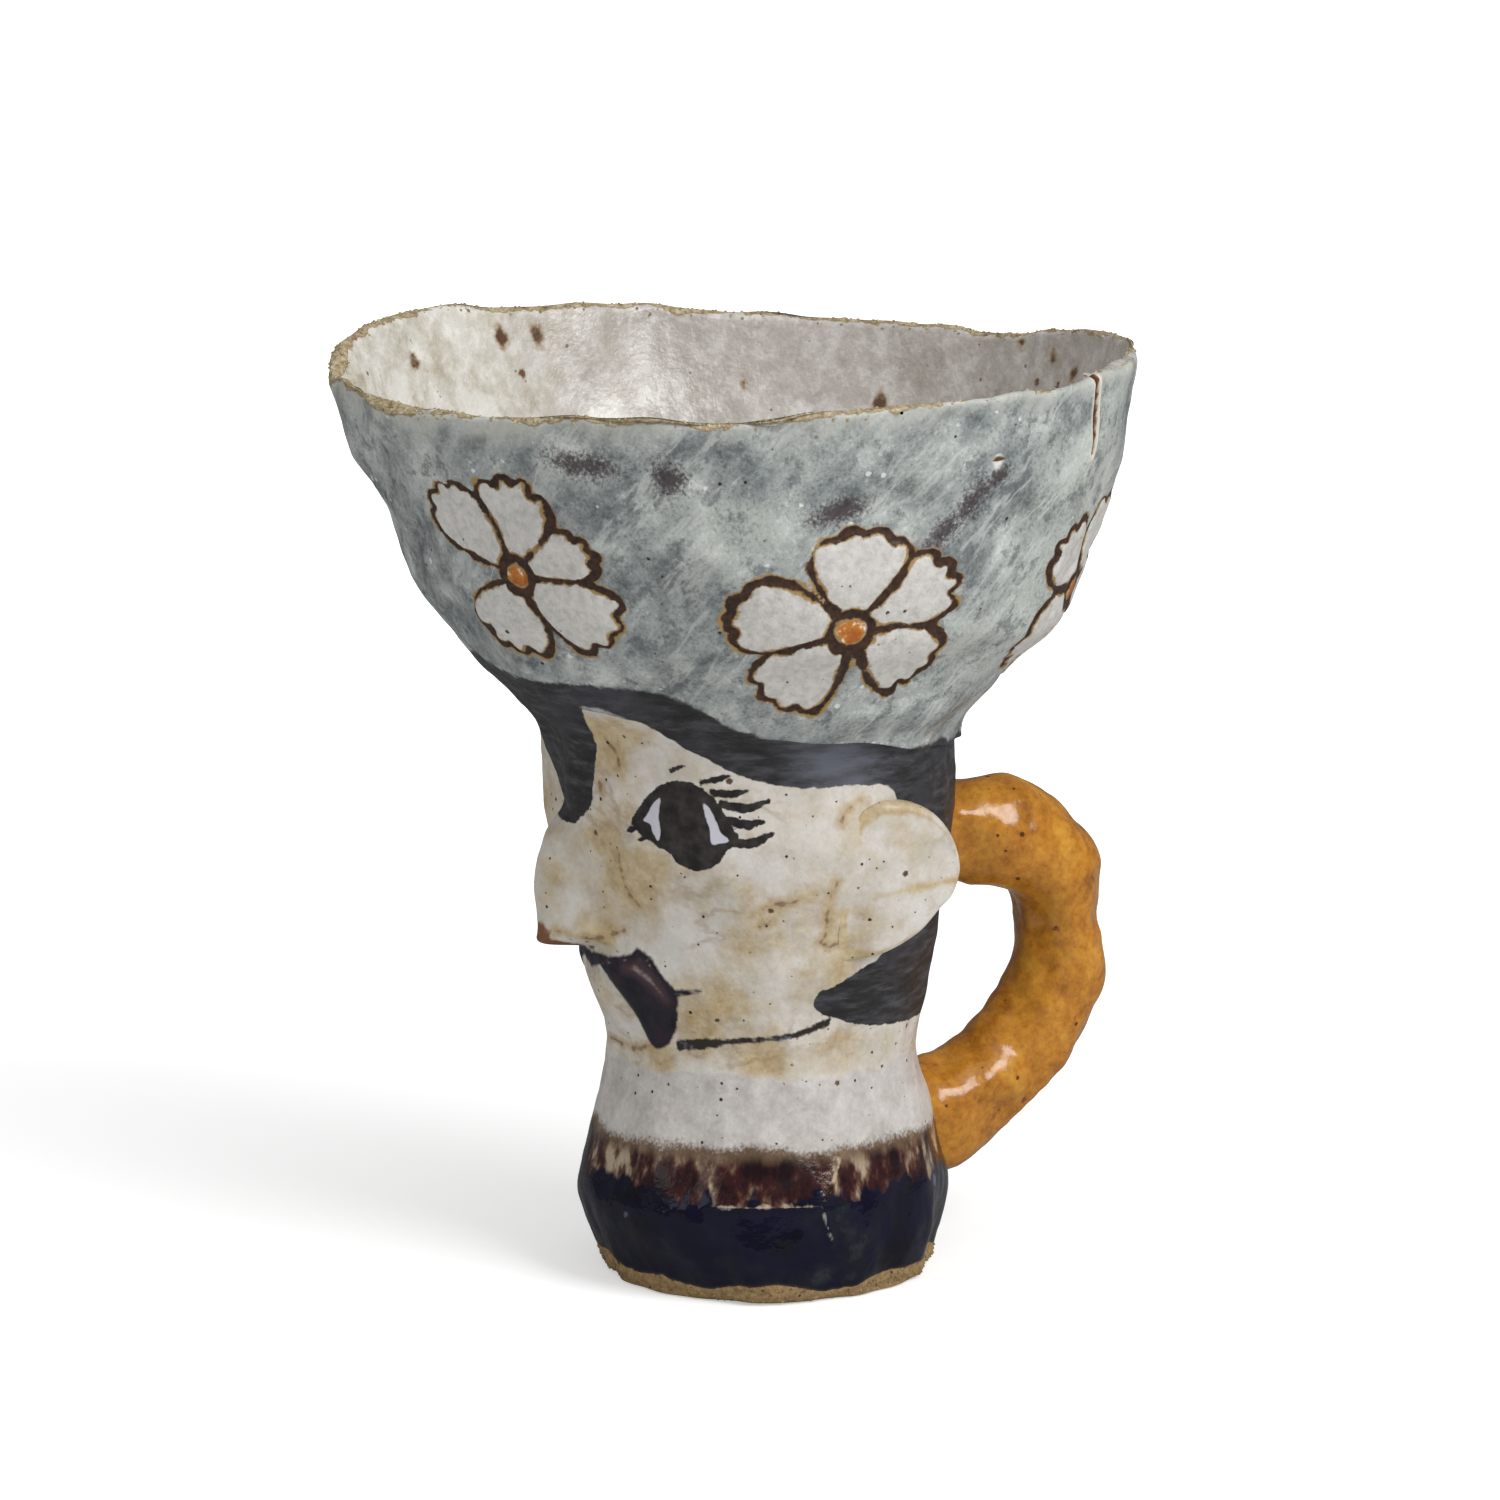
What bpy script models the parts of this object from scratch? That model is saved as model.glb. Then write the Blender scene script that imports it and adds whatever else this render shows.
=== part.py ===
"""Hand-built stoneware cup in the form of a head that wears a wide, open hat.

Eight clay pieces are luted together: a floor slab, a foot ring, a head wall, a hat bowl, a nose,
two ears and a handle.
The face looks along -Y and the handle stands at +Y. The origin is the middle of the flat underside.
Lengths are metres and angles are degrees. A plan direction, or turn, counts from the face towards the
head's left, +X.
"""

import math

import bmesh
import bpy
import numpy as np
from mathutils import Matrix, Vector

# Joints between pieces: the slip that lutes one piece to the next
SLIP_GAP = 0.0003

# Outline of the vessel: reach from the axis at the front, the back and the sides of each station,
# and the rise of each station above the one before it
FOOT_FRONT = 0.0252
FOOT_BACK = 0.0248
FOOT_SIDE = 0.0250
BELLY_RISE = 0.0110
BELLY_FRONT = 0.0286
BELLY_BACK = 0.0268
BELLY_SIDE = 0.0277
WAIST_RISE = 0.0235
WAIST_FRONT = 0.0241
WAIST_BACK = 0.0222
WAIST_SIDE = 0.0234
CHEEK_RISE = 0.0185
CHEEK_FRONT = 0.0280
CHEEK_BACK = 0.0255
CHEEK_SIDE = 0.0280
BROW_RISE = 0.0180
BROW_FRONT = 0.0342
BROW_BACK = 0.0272
BROW_SIDE = 0.0334
TEMPLE_RISE = 0.0120
TEMPLE_FRONT = 0.0348
TEMPLE_BACK = 0.0276
TEMPLE_SIDE = 0.0342
SHOULDER_RISE = 0.0105
SHOULDER_FRONT = 0.0433
SHOULDER_BACK = 0.0350
SHOULDER_SIDE = 0.0410
CROWN_RISE = 0.0105
CROWN_FRONT = 0.0512
CROWN_BACK = 0.0444
CROWN_SIDE = 0.0496
BRIM_RISE = 0.0180
BRIM_FRONT = 0.0583
BRIM_BACK = 0.0510
BRIM_SIDE = 0.0560
RIM_RISE = 0.0172
RIM_FRONT = 0.0658
RIM_BACK = 0.0541
RIM_SIDE = 0.0594

# Walls
FLOOR_THICKNESS = 0.0045
FLOOR_EDGE_ROUND = 0.0012
FOOT_RING_TALL = 0.0110
FOOT_WALL = 0.0052
HEAD_WALL = 0.0045
HAT_WALL = 0.0040
LIP_WALL = 0.0032

# Hat: the tilted line where it stands on the head, its overhang at the back, the waves of its rim,
# and the seam of its slab, which has opened at the rim
HAT_JOINT_RISE = 0.0036
HAT_JOINT_TILT = 0.0048
HAT_OVERHANG = 0.0010
HAT_OVERHANG_TALL = 0.0060
RIM_TILT = 0.0011
RIM_TILT_TURN = -138.0
RIM_SADDLE = 0.0023
RIM_SADDLE_TURN = -97.0
RIM_LOBES = 0.0006
RIM_LOBES_TURN = 180.0
SEAM_TURN = 128.0
SEAM_TALL = 0.0140
SEAM_WIDTH = 0.0010
SEAM_FOOT_WIDTH = 0.0006
SEAM_DEPTH = 0.0016
SEAM_FOOT_DEPTH = 0.0008

# Dent pressed into the wall above the nose, its height counts from the brow
DENT_TURN = -7.0
DENT_RISE = 0.0030
DENT_DEPTH = 0.0034
DENT_SPREAD = 13.0
DENT_TALL = 0.0095

# Swelling of the lips, its height counts from the waist
LIPS_TURN = 5.0
LIPS_RISE = 0.0108
LIPS_SWELL = 0.0013
LIPS_SPREAD = 22.0
LIPS_TALL = 0.0052

# Nose: its heights count from the waist
NOSE_RISE = 0.0182
NOSE_TALL = 0.0205
NOSE_WIDTH = 0.0210
NOSE_BRIDGE_WIDTH = 0.0070
NOSE_REACH = 0.0090
NOSE_BRIDGE_REACH = 0.0016
NOSE_DROOP = 0.0012
NOSE_ROOT = 0.0038
NOSE_RIDGE_POWER = 1.5

# Ears: a flat slab that leaves the wall at its back edge
EAR_RISE = 0.0308
EAR_TALL = 0.0240
EAR_WIDTH = 0.0195
EAR_THICKNESS = 0.0034
EAR_EDGE_ROUND = 0.0008
EAR_TURN = 110.0
EAR_FLARE = 13.0
EAR_SEAT_TURN = 10.0
EAR_SINK = 0.0012

# Handle: a thick coil of clay, its heights count from the waist
HANDLE_TOP_RISE = 0.0305
HANDLE_LOW_DROP = 0.0143
HANDLE_TOP_RADIUS = 0.0082
HANDLE_LOW_RADIUS = 0.0084
HANDLE_TOP_PULL = 0.0281
HANDLE_TOP_LIFT = 0.0052
HANDLE_LOW_PULL = 0.0303
HANDLE_LOW_LIFT = 0.0065
HANDLE_ROOT = 0.0030

# Fineness of the facets
SIDES = 48
HAT_STEPS = 11
HEAD_STEPS = 15
FOOT_STEPS = 4
LIP_STEPS = 3
SEAM_STEPS = 4
NOSE_STEPS = 8
NOSE_SIDES = 14
HANDLE_STEPS = 26
HANDLE_BEVEL_STEPS = 5
SHARP_ANGLE = 40.0
SLOPE_STEP = 0.0005
WELD_DISTANCE = 0.000001

# Heights that the rises add up to, and the reaches of all stations from the foot to the rim
RISES = (
    BELLY_RISE, WAIST_RISE, CHEEK_RISE, BROW_RISE, TEMPLE_RISE,
    SHOULDER_RISE, CROWN_RISE, BRIM_RISE, RIM_RISE,
)
STATIONS = np.concatenate([[0.0], np.cumsum(RISES)])
WAIST_HEIGHT = STATIONS[2]
BROW_HEIGHT = STATIONS[4]
TEMPLE_HEIGHT = STATIONS[5]
RIM_HEIGHT = STATIONS[9]
FOOT_SEAM_HEIGHT = FLOOR_THICKNESS + FOOT_RING_TALL
FRONTS = (
    FOOT_FRONT, BELLY_FRONT, WAIST_FRONT, CHEEK_FRONT, BROW_FRONT,
    TEMPLE_FRONT, SHOULDER_FRONT, CROWN_FRONT, BRIM_FRONT, RIM_FRONT,
)
BACKS = (
    FOOT_BACK, BELLY_BACK, WAIST_BACK, CHEEK_BACK, BROW_BACK,
    TEMPLE_BACK, SHOULDER_BACK, CROWN_BACK, BRIM_BACK, RIM_BACK,
)
FLANKS = (
    FOOT_SIDE, BELLY_SIDE, WAIST_SIDE, CHEEK_SIDE, BROW_SIDE,
    TEMPLE_SIDE, SHOULDER_SIDE, CROWN_SIDE, BRIM_SIDE, RIM_SIDE,
)

TURNS = [360.0 * k / SIDES for k in range(SIDES)]
UP = Vector((0.0, 0.0, 1.0))


def smooth_curve(values):
    """A height-to-reach function through the stations, with no overshoot between them."""
    values = np.asarray(values)
    steps = np.diff(STATIONS)
    secants = np.diff(values) / steps
    inner = [
        0.0 if low * high <= 0 else 2 * low * high / (low + high)
        for low, high in zip(secants, secants[1:])
    ]
    slopes = np.concatenate([[secants[0]], inner, [secants[-1]]])

    def reach(height):
        span = int(np.clip(np.searchsorted(STATIONS, height) - 1, 0, len(steps) - 1))
        if height > STATIONS[-1]:
            return values[-1] + slopes[-1] * (height - STATIONS[-1])
        t = max(0.0, height - STATIONS[span]) / steps[span]
        start = (1 + 2 * t) * (1 - t) ** 2 * values[span] + t * (1 - t) ** 2 * steps[span] * slopes[span]
        end = t * t * (3 - 2 * t) * values[span + 1] + t * t * (t - 1) * steps[span] * slopes[span + 1]
        return start + end

    return reach


front_reach = smooth_curve(FRONTS)
back_reach = smooth_curve(BACKS)
side_reach = smooth_curve(FLANKS)


def wave(turn, count, swing, peak):
    """A wave round the vessel: so many humps, of one height, with its phase at peak."""
    return swing * math.cos(math.radians(count * turn - peak))


def hat_joint(turn):
    """Height of the line where the hat stands on the head: high over the face, low over the handle."""
    return TEMPLE_HEIGHT + HAT_JOINT_RISE + wave(turn, 1, HAT_JOINT_TILT, 0.0)


def rim_height(turn):
    """Height of the wavy rim: a tilt, a saddle and three lobes."""
    tilt = wave(turn, 1, RIM_TILT, RIM_TILT_TURN)
    saddle = wave(turn, 2, RIM_SADDLE, RIM_SADDLE_TURN)
    lobes = wave(turn, 3, RIM_LOBES, RIM_LOBES_TURN)
    return RIM_HEIGHT + tilt + saddle + lobes


def thumb_mark(turn, height, middle_turn, middle_height, spread, tall):
    """How much of a soft round mark, 1 at its middle, is left at a point of the wall."""
    away = (turn - middle_turn + 180.0) % 360.0 - 180.0
    rise = height - middle_height
    return math.exp(-((away / spread) ** 2) - (rise / tall) ** 2)


def face_relief(turn, height):
    """Depth of the dent above the nose, less the swelling of the lips."""
    dent = thumb_mark(turn, height, DENT_TURN, BROW_HEIGHT + DENT_RISE, DENT_SPREAD, DENT_TALL)
    lips = thumb_mark(turn, height, LIPS_TURN, WAIST_HEIGHT + LIPS_RISE, LIPS_SPREAD, LIPS_TALL)
    return DENT_DEPTH * dent - LIPS_SWELL * lips


def plan_point(turn, height, inset=0.0):
    """A point of the vessel's outer face in one plan direction, moved inwards by inset."""
    angle = math.radians(turn)
    lengthwise = front_reach(height) if math.cos(angle) > 0 else back_reach(height)
    inset += face_relief(turn, height)
    return Vector((
        (side_reach(height) - inset) * math.sin(angle),
        -(lengthwise - inset) * math.cos(angle),
        height,
    ))


def level_wall(turn, height, wall):
    """Wall thickness measured level, so that a sloping wall stays as thick square to its face."""
    low = plan_point(turn, height - SLOPE_STEP)
    high = plan_point(turn, height + SLOPE_STEP)
    slope = (high.xy.length - low.xy.length) / (2 * SLOPE_STEP)
    return wall * math.sqrt(1.0 + slope * slope)


def share(low, high, part):
    return low + (high - low) * part


def parts_of(count):
    return [k / count for k in range(count + 1)]


def loft(name, rings, hollow):
    """A closed solid through rings of points. A hollow one goes round from the last ring to the first."""
    shape = bmesh.new()
    loops = [[shape.verts.new(point) for point in ring] for ring in rings]
    following = loops[1:] + loops[:1] if hollow else loops[1:]
    for low, high in zip(loops, following):
        for k in range(len(low)):
            shape.faces.new((low[k - 1], low[k], high[k], high[k - 1]))
    if not hollow:
        shape.faces.new(loops[0])
        shape.faces.new(loops[-1])
    bmesh.ops.recalc_face_normals(shape, faces=shape.faces)
    mesh = bpy.data.meshes.new(name)
    shape.to_mesh(mesh)
    shape.free()
    return bpy.data.objects.new(name, mesh)


def ring_at(height_of, inset_of):
    """One ring of the vessel: a height and an inset for each plan direction."""
    return [plan_point(turn, height_of(turn), inset_of(turn, height_of(turn))) for turn in TURNS]


def wall_rings(low_of, high_of, outer_inset, inner_inset, steps, lip=()):
    """Rings up the outer face of a wall, over its lip, and down its inner face."""
    def heights(part):
        return lambda turn: share(low_of(turn), high_of(turn), part)

    up = [ring_at(heights(part), outer_inset) for part in parts_of(steps)]
    down = [ring_at(heights(part), inner_inset) for part in reversed(parts_of(steps))]
    return up + list(lip) + down


def flush(turn, height):
    return 0.0


def make_floor_slab():
    """The flat slab that closes the foot, with its lower edge rounded."""
    def rounded(angle):
        lift = FLOOR_EDGE_ROUND * (1 - math.sin(angle))
        inset = FLOOR_EDGE_ROUND * (1 - math.cos(angle))
        return ring_at(lambda turn: lift, lambda turn, height: inset)

    edge = [rounded(math.radians(angle)) for angle in (90, 60, 30, 0)]
    top = ring_at(lambda turn: FLOOR_THICKNESS, flush)
    return loft("floor_slab", edge + [top], hollow=False)


def make_foot_ring():
    """The low, swelling coil that stands on the floor slab."""
    rings = wall_rings(
        lambda turn: FLOOR_THICKNESS + SLIP_GAP,
        lambda turn: FOOT_SEAM_HEIGHT,
        flush,
        lambda turn, height: level_wall(turn, height, FOOT_WALL),
        FOOT_STEPS,
    )
    return loft("foot_ring", rings, hollow=True)


def make_head_wall():
    """The waisted tube that is the neck and the head, up to the tilted line of the hat."""
    rings = wall_rings(
        lambda turn: FOOT_SEAM_HEIGHT + SLIP_GAP,
        hat_joint,
        flush,
        lambda turn, height: level_wall(turn, height, HEAD_WALL),
        HEAD_STEPS,
    )
    return loft("head_wall", rings, hollow=True)


def make_hat_bowl():
    """The wide flaring bowl, proud of the head at the back, with a rounded and wavy lip."""
    def overhang(turn, height):
        backness = (1 - math.cos(math.radians(turn))) / 2
        rise = max(0.0, height - hat_joint(turn))
        return -HAT_OVERHANG * backness * math.exp(-((rise / HAT_OVERHANG_TALL) ** 2))

    def wall_here(turn, height):
        part = (height - hat_joint(turn)) / (rim_height(turn) - hat_joint(turn))
        return level_wall(turn, height, share(HAT_WALL, LIP_WALL, part))

    def lip_top(turn):
        return rim_height(turn) - LIP_WALL / 2

    def lip_ring(angle):
        half = LIP_WALL / 2

        def inset(turn, height):
            middle = wall_here(turn, lip_top(turn)) / 2
            return middle - middle * math.cos(angle)

        return ring_at(lambda turn: lip_top(turn) + half * math.sin(angle), inset)

    lip = [lip_ring(math.pi * (k + 1) / (LIP_STEPS + 1)) for k in range(LIP_STEPS)]
    rings = wall_rings(
        lambda turn: hat_joint(turn) + SLIP_GAP, lip_top, overhang, wall_here, HAT_STEPS, lip
    )
    return loft("hat_bowl", rings, hollow=True)


def make_seat_form():
    """The head's outer face with the slip on it. What is luted to the head is cut by this form."""
    bottom = FLOOR_THICKNESS
    top = min(hat_joint(turn) for turn in TURNS)
    steps = parts_of(2 * HEAD_STEPS)
    rings = [
        ring_at(lambda turn, part=part: share(bottom, top, part), lambda turn, height: -SLIP_GAP)
        for part in steps
    ]
    return loft("seat_form", rings, hollow=False)


def make_nose():
    """A pinched wedge: wide and proud at the nostrils, narrow and low at the bridge."""
    low = WAIST_HEIGHT + NOSE_RISE
    rings = []
    for part in parts_of(NOSE_STEPS):
        height = low + NOSE_TALL * part
        half_width = share(NOSE_WIDTH, NOSE_BRIDGE_WIDTH, part) / 2
        reach = share(NOSE_REACH, NOSE_BRIDGE_REACH, part)
        root = front_reach(height) - face_relief(0.0, height) - NOSE_ROOT
        ring = []
        for k in range(NOSE_SIDES + 1):
            across = 2.0 * k / NOSE_SIDES - 1.0
            ridge = 1.0 - abs(across) ** NOSE_RIDGE_POWER
            droop = NOSE_DROOP * ridge * (1.0 - part)
            ring.append(Vector((half_width * across, -root - (reach + NOSE_ROOT) * ridge, height - droop)))
        rings.append(ring)
    return loft("nose", rings, hollow=False)


def curve_to_mesh(curve_object):
    """The evaluated curve as a mesh object with its caps welded."""
    graph = bpy.context.evaluated_depsgraph_get()
    mesh = bpy.data.meshes.new_from_object(curve_object.evaluated_get(graph))
    shape = bmesh.new()
    shape.from_mesh(mesh)
    bmesh.ops.remove_doubles(shape, verts=shape.verts, dist=WELD_DISTANCE)
    bmesh.ops.recalc_face_normals(shape, faces=shape.faces)
    shape.to_mesh(mesh)
    shape.free()
    name = curve_object.name
    matrix = curve_object.matrix_world.copy()
    bpy.data.objects.remove(curve_object)
    made = bpy.data.objects.new(name, mesh)
    mesh.name = name
    made.matrix_world = matrix
    return made


def ear_outline():
    """Corner points of the ear as seen from the side: backwards, then upwards."""
    return (
        (-0.42 * EAR_WIDTH, 0.38 * EAR_TALL),
        (-0.04 * EAR_WIDTH, 0.50 * EAR_TALL),
        (0.50 * EAR_WIDTH, 0.12 * EAR_TALL),
        (0.18 * EAR_WIDTH, -0.26 * EAR_TALL),
        (-0.44 * EAR_WIDTH, -0.50 * EAR_TALL),
        (-0.49 * EAR_WIDTH, -0.05 * EAR_TALL),
    )


def make_ear(name, side):
    """A flat ear-shaped slab set against the wall. Side is 1 for the head's left and -1 for its right."""
    data = bpy.data.curves.new(name, "CURVE")
    data.dimensions = "2D"
    data.fill_mode = "BOTH"
    data.extrude = EAR_THICKNESS / 2 - EAR_EDGE_ROUND
    data.bevel_depth = EAR_EDGE_ROUND
    data.offset = -EAR_EDGE_ROUND
    data.bevel_resolution = 1
    data.resolution_u = 6
    outline = ear_outline()
    spline = data.splines.new("BEZIER")
    spline.bezier_points.add(len(outline) - 1)
    spline.use_cyclic_u = True
    for point, (backward, upward) in zip(spline.bezier_points, outline):
        point.co = (side * backward, upward, 0.0)
        point.handle_left_type = "AUTO"
        point.handle_right_type = "AUTO"
    ear = bpy.data.objects.new(name, data)
    bpy.context.scene.collection.objects.link(ear)

    height = WAIST_HEIGHT + EAR_RISE
    turn = side * EAR_TURN
    seat = plan_point(turn, height)
    along = plan_point(turn + side * EAR_SEAT_TURN, height) - plan_point(turn - side * EAR_SEAT_TURN, height)
    backward = Matrix.Rotation(math.radians(side * -EAR_FLARE), 3, "Z") @ along.normalized()
    above = plan_point(turn, height + EAR_TALL / 2)
    below = plan_point(turn, height - EAR_TALL / 2)
    upward = (above - below).normalized()
    outward = (side * backward).cross(upward).normalized()
    place = Matrix((upward.cross(outward), upward, outward)).transposed().to_4x4()
    place.translation = seat + outward * (EAR_THICKNESS / 2 - EAR_SINK)
    ear.matrix_world = place
    bpy.context.view_layer.update()
    return curve_to_mesh(ear)


def make_handle():
    """A coil of clay bent into a loop, with one joint at the back of the head and one at the neck."""
    top_height = WAIST_HEIGHT + HANDLE_TOP_RISE
    low_height = WAIST_HEIGHT - HANDLE_LOW_DROP
    top = Vector((0.0, back_reach(top_height) - HANDLE_ROOT, top_height))
    low = Vector((0.0, back_reach(low_height) - HANDLE_ROOT, low_height))
    top_pull = Vector((0.0, HANDLE_TOP_PULL + HANDLE_ROOT, HANDLE_TOP_LIFT))
    low_pull = Vector((0.0, HANDLE_LOW_PULL + HANDLE_ROOT, HANDLE_LOW_LIFT))

    data = bpy.data.curves.new("handle", "CURVE")
    data.dimensions = "3D"
    data.bevel_depth = 1.0
    data.bevel_resolution = HANDLE_BEVEL_STEPS
    data.resolution_u = HANDLE_STEPS
    data.use_fill_caps = True
    spline = data.splines.new("BEZIER")
    spline.bezier_points.add(1)
    ends = ((top, top_pull, HANDLE_TOP_RADIUS), (low, low_pull, HANDLE_LOW_RADIUS))
    for point, (place, pull, radius) in zip(spline.bezier_points, ends):
        point.handle_left_type = "FREE"
        point.handle_right_type = "FREE"
        point.co = place
        point.radius = radius
        point.handle_left = place + pull
        point.handle_right = place + pull
    handle = bpy.data.objects.new("handle", data)
    bpy.context.scene.collection.objects.link(handle)
    bpy.context.view_layer.update()
    return curve_to_mesh(handle)


def make_seam_wedge():
    """The gap at the rim where the two ends of the hat's slab have drawn apart, narrow at its foot."""
    top = rim_height(SEAM_TURN) + LIP_WALL
    low = rim_height(SEAM_TURN) - SEAM_TALL
    rings = []
    for part in parts_of(SEAM_STEPS):
        face = plan_point(SEAM_TURN, share(low, top, part))
        outward = Vector((face.x, face.y, 0.0)).normalized()
        sideways = outward.cross(UP) * share(SEAM_FOOT_WIDTH, SEAM_WIDTH, part) / 2
        outer = face + outward * LIP_WALL
        inner = face - outward * share(SEAM_FOOT_DEPTH, SEAM_DEPTH, part)
        rings.append([outer - sideways, outer + sideways, inner + sideways, inner - sideways])
    return loft("seam_wedge", rings, hollow=False)


def cut(piece, cutter):
    """Takes the cutter's shape out of the piece."""
    taken = piece.modifiers.new(cutter.name, "BOOLEAN")
    taken.operation = "DIFFERENCE"
    taken.object = cutter


def make_material(name, colour, roughness):
    material = bpy.data.materials.new(name)
    material.use_nodes = True
    shader = material.node_tree.nodes["Principled BSDF"]
    shader.inputs["Base Color"].default_value = (*colour, 1.0)
    shader.inputs["Roughness"].default_value = roughness
    shader.inputs["Metallic"].default_value = 0.0
    return material


def finish(piece, collection, material):
    """Puts the piece in its collection, gives it its glaze and shades its round faces smooth."""
    for owner in list(piece.users_collection):
        owner.objects.unlink(piece)
    collection.objects.link(piece)
    piece.data.materials.clear()
    piece.data.materials.append(material)
    piece.data.shade_smooth()
    piece.data.set_sharp_from_angle(angle=math.radians(SHARP_ANGLE))


def main():
    for old in list(bpy.data.objects):
        bpy.data.objects.remove(old)
    cup = bpy.data.collections.new("head_cup")
    cutters = bpy.data.collections.new("cutters")
    bpy.context.scene.collection.children.link(cup)
    bpy.context.scene.collection.children.link(cutters)

    raw_clay = make_material("raw_stoneware", (0.34, 0.24, 0.14), 0.85)
    blue_glaze = make_material("cobalt_glaze", (0.008, 0.008, 0.03), 0.25)
    cream_glaze = make_material("cream_glaze", (0.58, 0.54, 0.47), 0.40)
    grey_glaze = make_material("grey_green_glaze", (0.36, 0.40, 0.39), 0.40)
    amber_glaze = make_material("amber_glaze", (0.50, 0.22, 0.03), 0.30)

    seat_form = make_seat_form()
    seam_wedge = make_seam_wedge()
    for cutter in (seat_form, seam_wedge):
        cutters.objects.link(cutter)
        cutter.hide_render = True
        cutter.display_type = "WIRE"

    hat_bowl = make_hat_bowl()
    cut(hat_bowl, seam_wedge)
    finish(make_floor_slab(), cup, raw_clay)
    finish(make_foot_ring(), cup, blue_glaze)
    finish(make_head_wall(), cup, cream_glaze)
    finish(hat_bowl, cup, grey_glaze)
    seated = (
        (make_nose(), cream_glaze),
        (make_ear("ear_left", 1), cream_glaze),
        (make_ear("ear_right", -1), cream_glaze),
        (make_handle(), amber_glaze),
    )
    for piece, glaze in seated:
        cut(piece, seat_form)
        finish(piece, cup, glaze)


main()
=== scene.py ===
import math

import bpy
import numpy as np
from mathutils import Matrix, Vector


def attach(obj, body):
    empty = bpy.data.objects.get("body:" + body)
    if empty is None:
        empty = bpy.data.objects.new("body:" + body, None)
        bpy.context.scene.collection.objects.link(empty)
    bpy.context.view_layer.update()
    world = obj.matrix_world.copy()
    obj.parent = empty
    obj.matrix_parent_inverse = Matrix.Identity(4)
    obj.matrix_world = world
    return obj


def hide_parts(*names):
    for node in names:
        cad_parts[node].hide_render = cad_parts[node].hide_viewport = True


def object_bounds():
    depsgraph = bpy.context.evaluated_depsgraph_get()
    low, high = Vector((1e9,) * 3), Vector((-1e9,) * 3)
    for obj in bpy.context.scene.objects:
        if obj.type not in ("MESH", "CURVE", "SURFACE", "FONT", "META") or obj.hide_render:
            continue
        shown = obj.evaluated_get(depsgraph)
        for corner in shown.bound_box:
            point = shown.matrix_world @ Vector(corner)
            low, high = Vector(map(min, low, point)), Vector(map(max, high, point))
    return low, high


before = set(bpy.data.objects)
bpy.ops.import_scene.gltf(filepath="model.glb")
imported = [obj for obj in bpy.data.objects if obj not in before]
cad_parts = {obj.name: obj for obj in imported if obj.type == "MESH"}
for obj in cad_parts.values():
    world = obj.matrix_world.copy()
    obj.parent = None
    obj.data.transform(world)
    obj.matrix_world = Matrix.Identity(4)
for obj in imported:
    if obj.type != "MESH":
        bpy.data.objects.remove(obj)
cadLow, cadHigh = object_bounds()  # the CAD box, before any piece is added
mm = 0.001
print("frame loaded:", sorted(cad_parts))


# Small helpers


def toLinear(code):
    channels = [int(code[k : k + 2], 16) / 255 for k in (1, 3, 5)]
    return [c / 12.92 if c <= 0.04045 else ((c + 0.055) / 1.055) ** 2.4 for c in channels] + [1.0]


def addNode(tree, kind, settings=None, feeds=None, stops=()):
    new = tree.nodes.new(kind)
    for name, value in (settings or {}).items():
        setattr(new, name, value)
    for socket, source in (feeds or {}).items():
        if isinstance(source, bpy.types.NodeSocket):
            tree.links.new(source, new.inputs[socket])
        elif isinstance(source, str) and source.startswith("#"):
            new.inputs[socket].default_value = toLinear(source)
        else:
            new.inputs[socket].default_value = source
    if stops:  # a colour ramp's places from 0 to 1 and their colours
        marks = new.color_ramp.elements
        for _ in stops[2:]:
            marks.new(0.5)
        for mark, (place, code) in zip(marks, stops):
            mark.position = place
            mark.color = toLinear(code)
    return new.outputs


def perMm(size):
    return 1 / (size * mm)


def ease(low, high, value):
    part = np.clip((value - low) / (high - low), 0, 1)
    return part * part * (3 - 2 * part)


def aroundGap(turn, middle):
    return (turn - middle + 180) % 360 - 180


def hump(turn, middle, width):
    return np.exp(-((aroundGap(turn, middle) / width) ** 2))


def softSpot(turn, height, middleTurn, middleHeight, spread, tall):
    along = aroundGap(turn, middleTurn) / spread
    up = (height - middleHeight) / tall
    return np.exp(-(along**2) - up**2)


# The vessel's wall: turn in degrees from the face (-Y) towards the head's left (+X), lengths in mm

vessel = {
    "height": [0, 11, 34.5, 53, 71, 83, 93.5, 104, 122, 139.2],
    "front": [25.2, 28.6, 24.1, 28.0, 34.2, 34.8, 43.3, 51.2, 58.3, 65.8],
    "back": [24.8, 26.8, 22.2, 25.5, 27.2, 27.6, 35.0, 44.4, 51.0, 54.1],
    "side": [25.0, 27.7, 23.4, 28.0, 33.4, 34.2, 41.0, 49.6, 56.0, 59.4],
    "floorTop": 4.5,
    "footTop": 15.5,
    "joint": (86.6, 4.8),  # height of the hat's joint, and how far it rises to the face
    "rim": 139.2,
    "rimWaves": [(1, 1.1, 138), (2, 2.3, 97), (3, 0.6, -180)],  # waves around, size, start
    "seamTurn": 128.0,  # where the hat's slab has opened
    "dent": (-7, 74, 13, 9.5, 3.4),  # turn, height, spread, tall, depth
    "lips": (5, 45.3, 22, 5.2, -1.3),
}


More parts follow.
